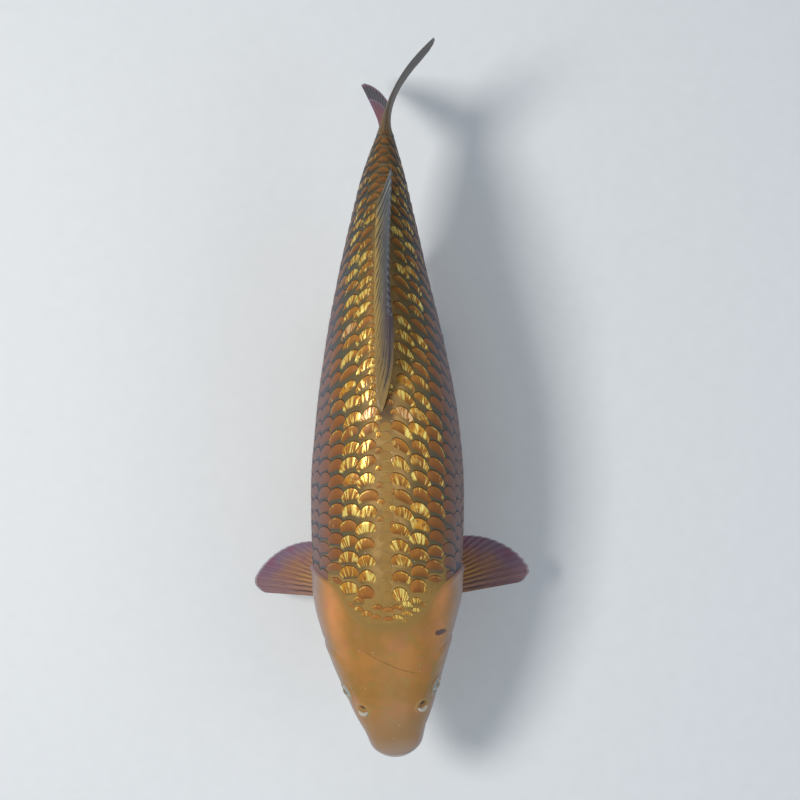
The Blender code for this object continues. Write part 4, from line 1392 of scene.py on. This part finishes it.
def fin_finish(name, root, membrane, margin, groove, lip, flush, front, early=0.0, leading=0.26):
    """Rays in the root's colour that turn to the margin's, parted by grooves, with a pale lip.

    front is the colour of the leading rays, a share of leading, and early is how much nearer the
    root the colours turn.
    """

    def paint(wire):
        out = wire.own("out")
        cloud = wire.noise(60, 3)
        grain = wire.noise(650, 3, rough=0.6)
        wobble = wire.own("phase") + (wire.noise(110, 2) - 0.5) * 0.40
        ridge = rays_of(wire, wobble)
        drawn_out = out + (cloud - 0.5) * 0.4 + (wire.own("over") * 2 + 1) * early
        tone = drawn_out.rise(0.25, 0.62).mix(root, membrane)
        tone = drawn_out.rise(0.58, 0.92).mix(tone, margin)
        tone = (cloud.rise(0.48, 0.66) * out.rise(0.35, 0.8) * 0.6).mix(tone, flush)
        led = wire.own("over").rise(leading, leading * 0.25) * (out.rise(0.1, 0.5) * 0.4 + 0.6)
        tone = (led * 0.75).mix(tone, front)
        tone = (ridge.rise(0.2, 1.0) * 0.3 * out.rise(1.0, 0.4)).mix(tone, root)
        grooves = ridge.rise(-0.25, -0.95) * drawn_out.rise(0.18, 0.36) * (1 - out.rise(0.6, 0.95) * 0.6)
        tone = (grooves * 0.8).mix(tone, groove)
        tone = (ridge.rise(-0.55, -0.98) * 0.55 * out.rise(0.72, 0.92)).mix(tone, lip)
        tone = (out.rise(0.972, 0.988) * 0.75).mix(tone, lip)
        return {
            "Base Color": tone,
            "Roughness": grain * 0.15 + 0.38,
            "Normal": fin_relief(wire, ridge, wobble, grain),
        }

    return finish(name, paint, Specular_IOR_Level=0.3, Coat_Weight=0.15, Coat_Roughness=0.2)


FIN_FINISH = fin_finish(
    "paired fin skin",
    colour(186, 136, 70),
    colour(150, 106, 82),
    colour(122, 98, 116),
    colour(76, 52, 44),
    colour(180, 172, 180),
    colour(134, 78, 96),
    colour(138, 106, 108),
)
PECTORAL_BASE = (0.155, 0.180)
PELVIC_BASE = (0.334, 0.352)
ANAL_BASE = (0.462, 0.506)
PECTORAL_HELD = {"left": (9, 9), "right": (1, 25)}  # degrees swept back and drooping, as the frame's


def held(sign, sweep, droop):
    sweep, droop = math.radians(sweep), math.radians(droop)
    level = math.cos(droop)
    return (sign * math.cos(sweep) * level, math.sin(sweep) * level, -math.sin(droop))


def pectoral_length(u):
    """Longest at a quarter of the way from the leading ray."""
    before = np.maximum(1 - u / 0.25, 0)
    after = np.maximum(u - 0.25, 0)
    return 0.103 * (1 - 0.136 * before**1.6 - 1.05 * after**1.7)


def pelvic_length(u):
    return 0.068 * (1 - 0.45 * u * u - 0.05 * np.maximum(1 - u / 0.2, 0) ** 2)


for side, sign in SIDES.items():
    sweep, droop = PECTORAL_HELD[side]
    ways = held(sign, sweep, droop), held(sign, sweep + 52, droop * 0.6)
    pectoral = fan(PECTORAL_BASE, (sign * 140, sign * 150), *ways, pectoral_length, 2.0)
    looks = FIN_FINISH, "fin_skin", f"fin_pectoral_{side}"
    fin(f"pectoral_{side}", pectoral, 14, 0.0024, FIN_MARGIN, *looks, notch=0.010, even=0.62)
    ways = held(sign, 60, 34), held(sign, 88, 20)
    pelvic = fan(PELVIC_BASE, (sign * 150, sign * 160), *ways, pelvic_length, 1.3)
    looks = FIN_FINISH, "fin_skin", f"fin_pelvic_{side}"
    fin(f"pelvic_{side}", pelvic, 9, 0.0022, FIN_MARGIN, *looks, even=0.8)

anal_ways = (0.05, 0.62, -0.78), (0.02, 0.93, -0.36)
anal = fan(ANAL_BASE, (180, 180), *anal_ways, lambda u: 0.058 * (1 - 0.5 * u), 1.2)
fin("anal", anal, 8, 0.0020, FIN_MARGIN, FIN_FINISH, "fin_skin", "fin_anal")


# The back fin is folded down to the fish's left: its skin pleats between the rays.
def dorsal_way(rise, lean):
    """The way of a ray that rises this steeply from the back and leans over to the fish's left."""
    rise, lean = math.radians(rise), math.radians(lean)
    return (math.sin(lean) * math.sin(rise), math.cos(rise), math.cos(lean) * math.sin(rise))


DORSAL_FINISH = fin_finish(
    "back fin skin",
    colour(166, 136, 72),
    colour(100, 94, 78),
    colour(66, 72, 76),
    colour(36, 34, 38),
    colour(112, 114, 118),
    colour(84, 72, 80),
    colour(66, 52, 60),
    early=0.12,
    leading=0.5,
)
dorsal = fan(
    DORSAL_BASE,
    (-1, -6),
    dorsal_way(17, 16),
    dorsal_way(24, 62),
    lambda u: 0.034 + 0.056 * (1 - u) ** 1.1,
    1.5,
    drift=0.3,
    bow=(0.005, 0, 0.004),
)
looks = DORSAL_FINISH, "dorsal_skin", "fin_dorsal"
fin("dorsal", dorsal, 19, 0.0040, FIN_MARGIN, *looks, pleat=0.0011, notch=0.035)

# The tail fin: two lobes from one root, the upper flicked to the fish's left and the lower to its right
UPPER_LOBE = (0.0490, 0.0812, 0.072)
LOWER_LOBE = (-0.0265, 0.0720, -0.079)
FORK = (0.004, 0.033)


def tail_sheet(u, v):
    """The tail fin's middle, from its top ray at u = 0 through the fork to its lowest at u = 1."""
    from_fork = np.abs(1 - 2 * u)
    lobe = np.where((u < 0.5)[..., None], UPPER_LOBE, LOWER_LOBE)
    end = np.sqrt(BODY_LENGTH)
    top, bottom = BACK(end), BELLY(end)
    root = spine(np.full(u.shape, BODY_LENGTH))
    root[..., 2] += (top + (bottom - top) * u) * 0.97
    upper = smooth(0.5 - u, 0, 0.35)
    curl = 1.6 * smooth(0.5 - u, 0, 0.1) * from_fork**2 * (1 - from_fork)
    tip_x = FORK[0] + (lobe[..., 0] - FORK[0]) * (from_fork**1.25 + curl)
    tip_y = FORK[1] + (lobe[..., 1] - FORK[1]) * (1 - (1 - from_fork) ** 1.35)
    tip_z = lobe[..., 2] * from_fork**1.1
    blunt = 1 - 0.030 * np.maximum(1 - (1 - from_fork) / 0.14, 0) ** 2
    far = np.maximum(v, 0)
    bend = 1.22 + 0.9 * upper
    return root + np.stack([tip_x * far**bend, tip_y * v, tip_z * far**0.9], -1) * blunt[..., None]


def tail_root(u):
    """The stalk's width at the height where this ray starts."""
    width = 2 * HALF_WIDTH(np.sqrt(BODY_LENGTH)) - 2 * COAT_DEPTH
    return np.maximum(width * np.maximum(1 - np.abs(2 * u - 1) ** 2.2, 0) ** 0.45, 0.003)


def tail_paint(wire):
    out, over = wire.own("out"), wire.own("over")
    cloud = wire.noise(60, 3)
    grain = wire.noise(650, 3, rough=0.6)
    wobble = wire.own("phase") + (wire.noise(90, 2) - 0.5) * 0.35
    ridge = rays_of(wire, wobble)
    lower = over.rise(0.44, 0.54)
    tone = lower.mix(colour(104, 92, 78), colour(118, 8, 34))
    edge_tone = lower.mix(colour(98, 92, 90), colour(78, 22, 60))
    tone = (out + (cloud - 0.5) * 0.3).rise(0.40, 0.78).mix(tone, edge_tone)
    tone = (out.rise(0.36, 0.10) * over.rise(0.62, 0.48)).mix(tone, colour(108, 82, 48))
    tone = (ridge.rise(0.1, 1.0) * 0.35).mix(tone, lower.mix(colour(122, 112, 100), colour(138, 30, 54)))
    tone = (ridge.rise(-0.2, -0.95) * 0.65 * out.rise(0.1, 0.3)).mix(tone, colour(52, 34, 40))
    scallop = out + (ridge * 0.018)
    tone = (lower * over.rise(0.90, 0.98) * 0.6).mix(tone, colour(112, 58, 116))
    # Painted shade: beyond the scalloped edge of the nearer rays the lower lobe is dark, as if shaded by the
    # parts above it
    tone = (scallop.rise(0.71, 0.76) * scallop.rise(0.97, 0.93) * 0.9 * lower).mix(tone, colour(24, 20, 30))
    tone = (scallop.near(0.71, 0.014) * 0.6 * lower).mix(tone, colour(150, 150, 160))
    tone = (out.rise(0.972, 0.988) * 0.6).mix(tone, colour(160, 150, 146))
    return {
        "Base Color": tone,
        "Roughness": grain * 0.15 + 0.38,
        "Normal": fin_relief(wire, ridge, wobble, grain),
    }


TAIL_FINISH = finish(
    "tail fin skin", tail_paint, Specular_IOR_Level=0.25, Coat_Weight=0.06, Coat_Roughness=0.2
)
looks = TAIL_FINISH, "tail_skin", "fin_caudal_upper", "fin_caudal_lower"
fin("tail", tail_sheet, 17, tail_root, FIN_MARGIN, *looks, pleat=0.0001, notch=0.005)
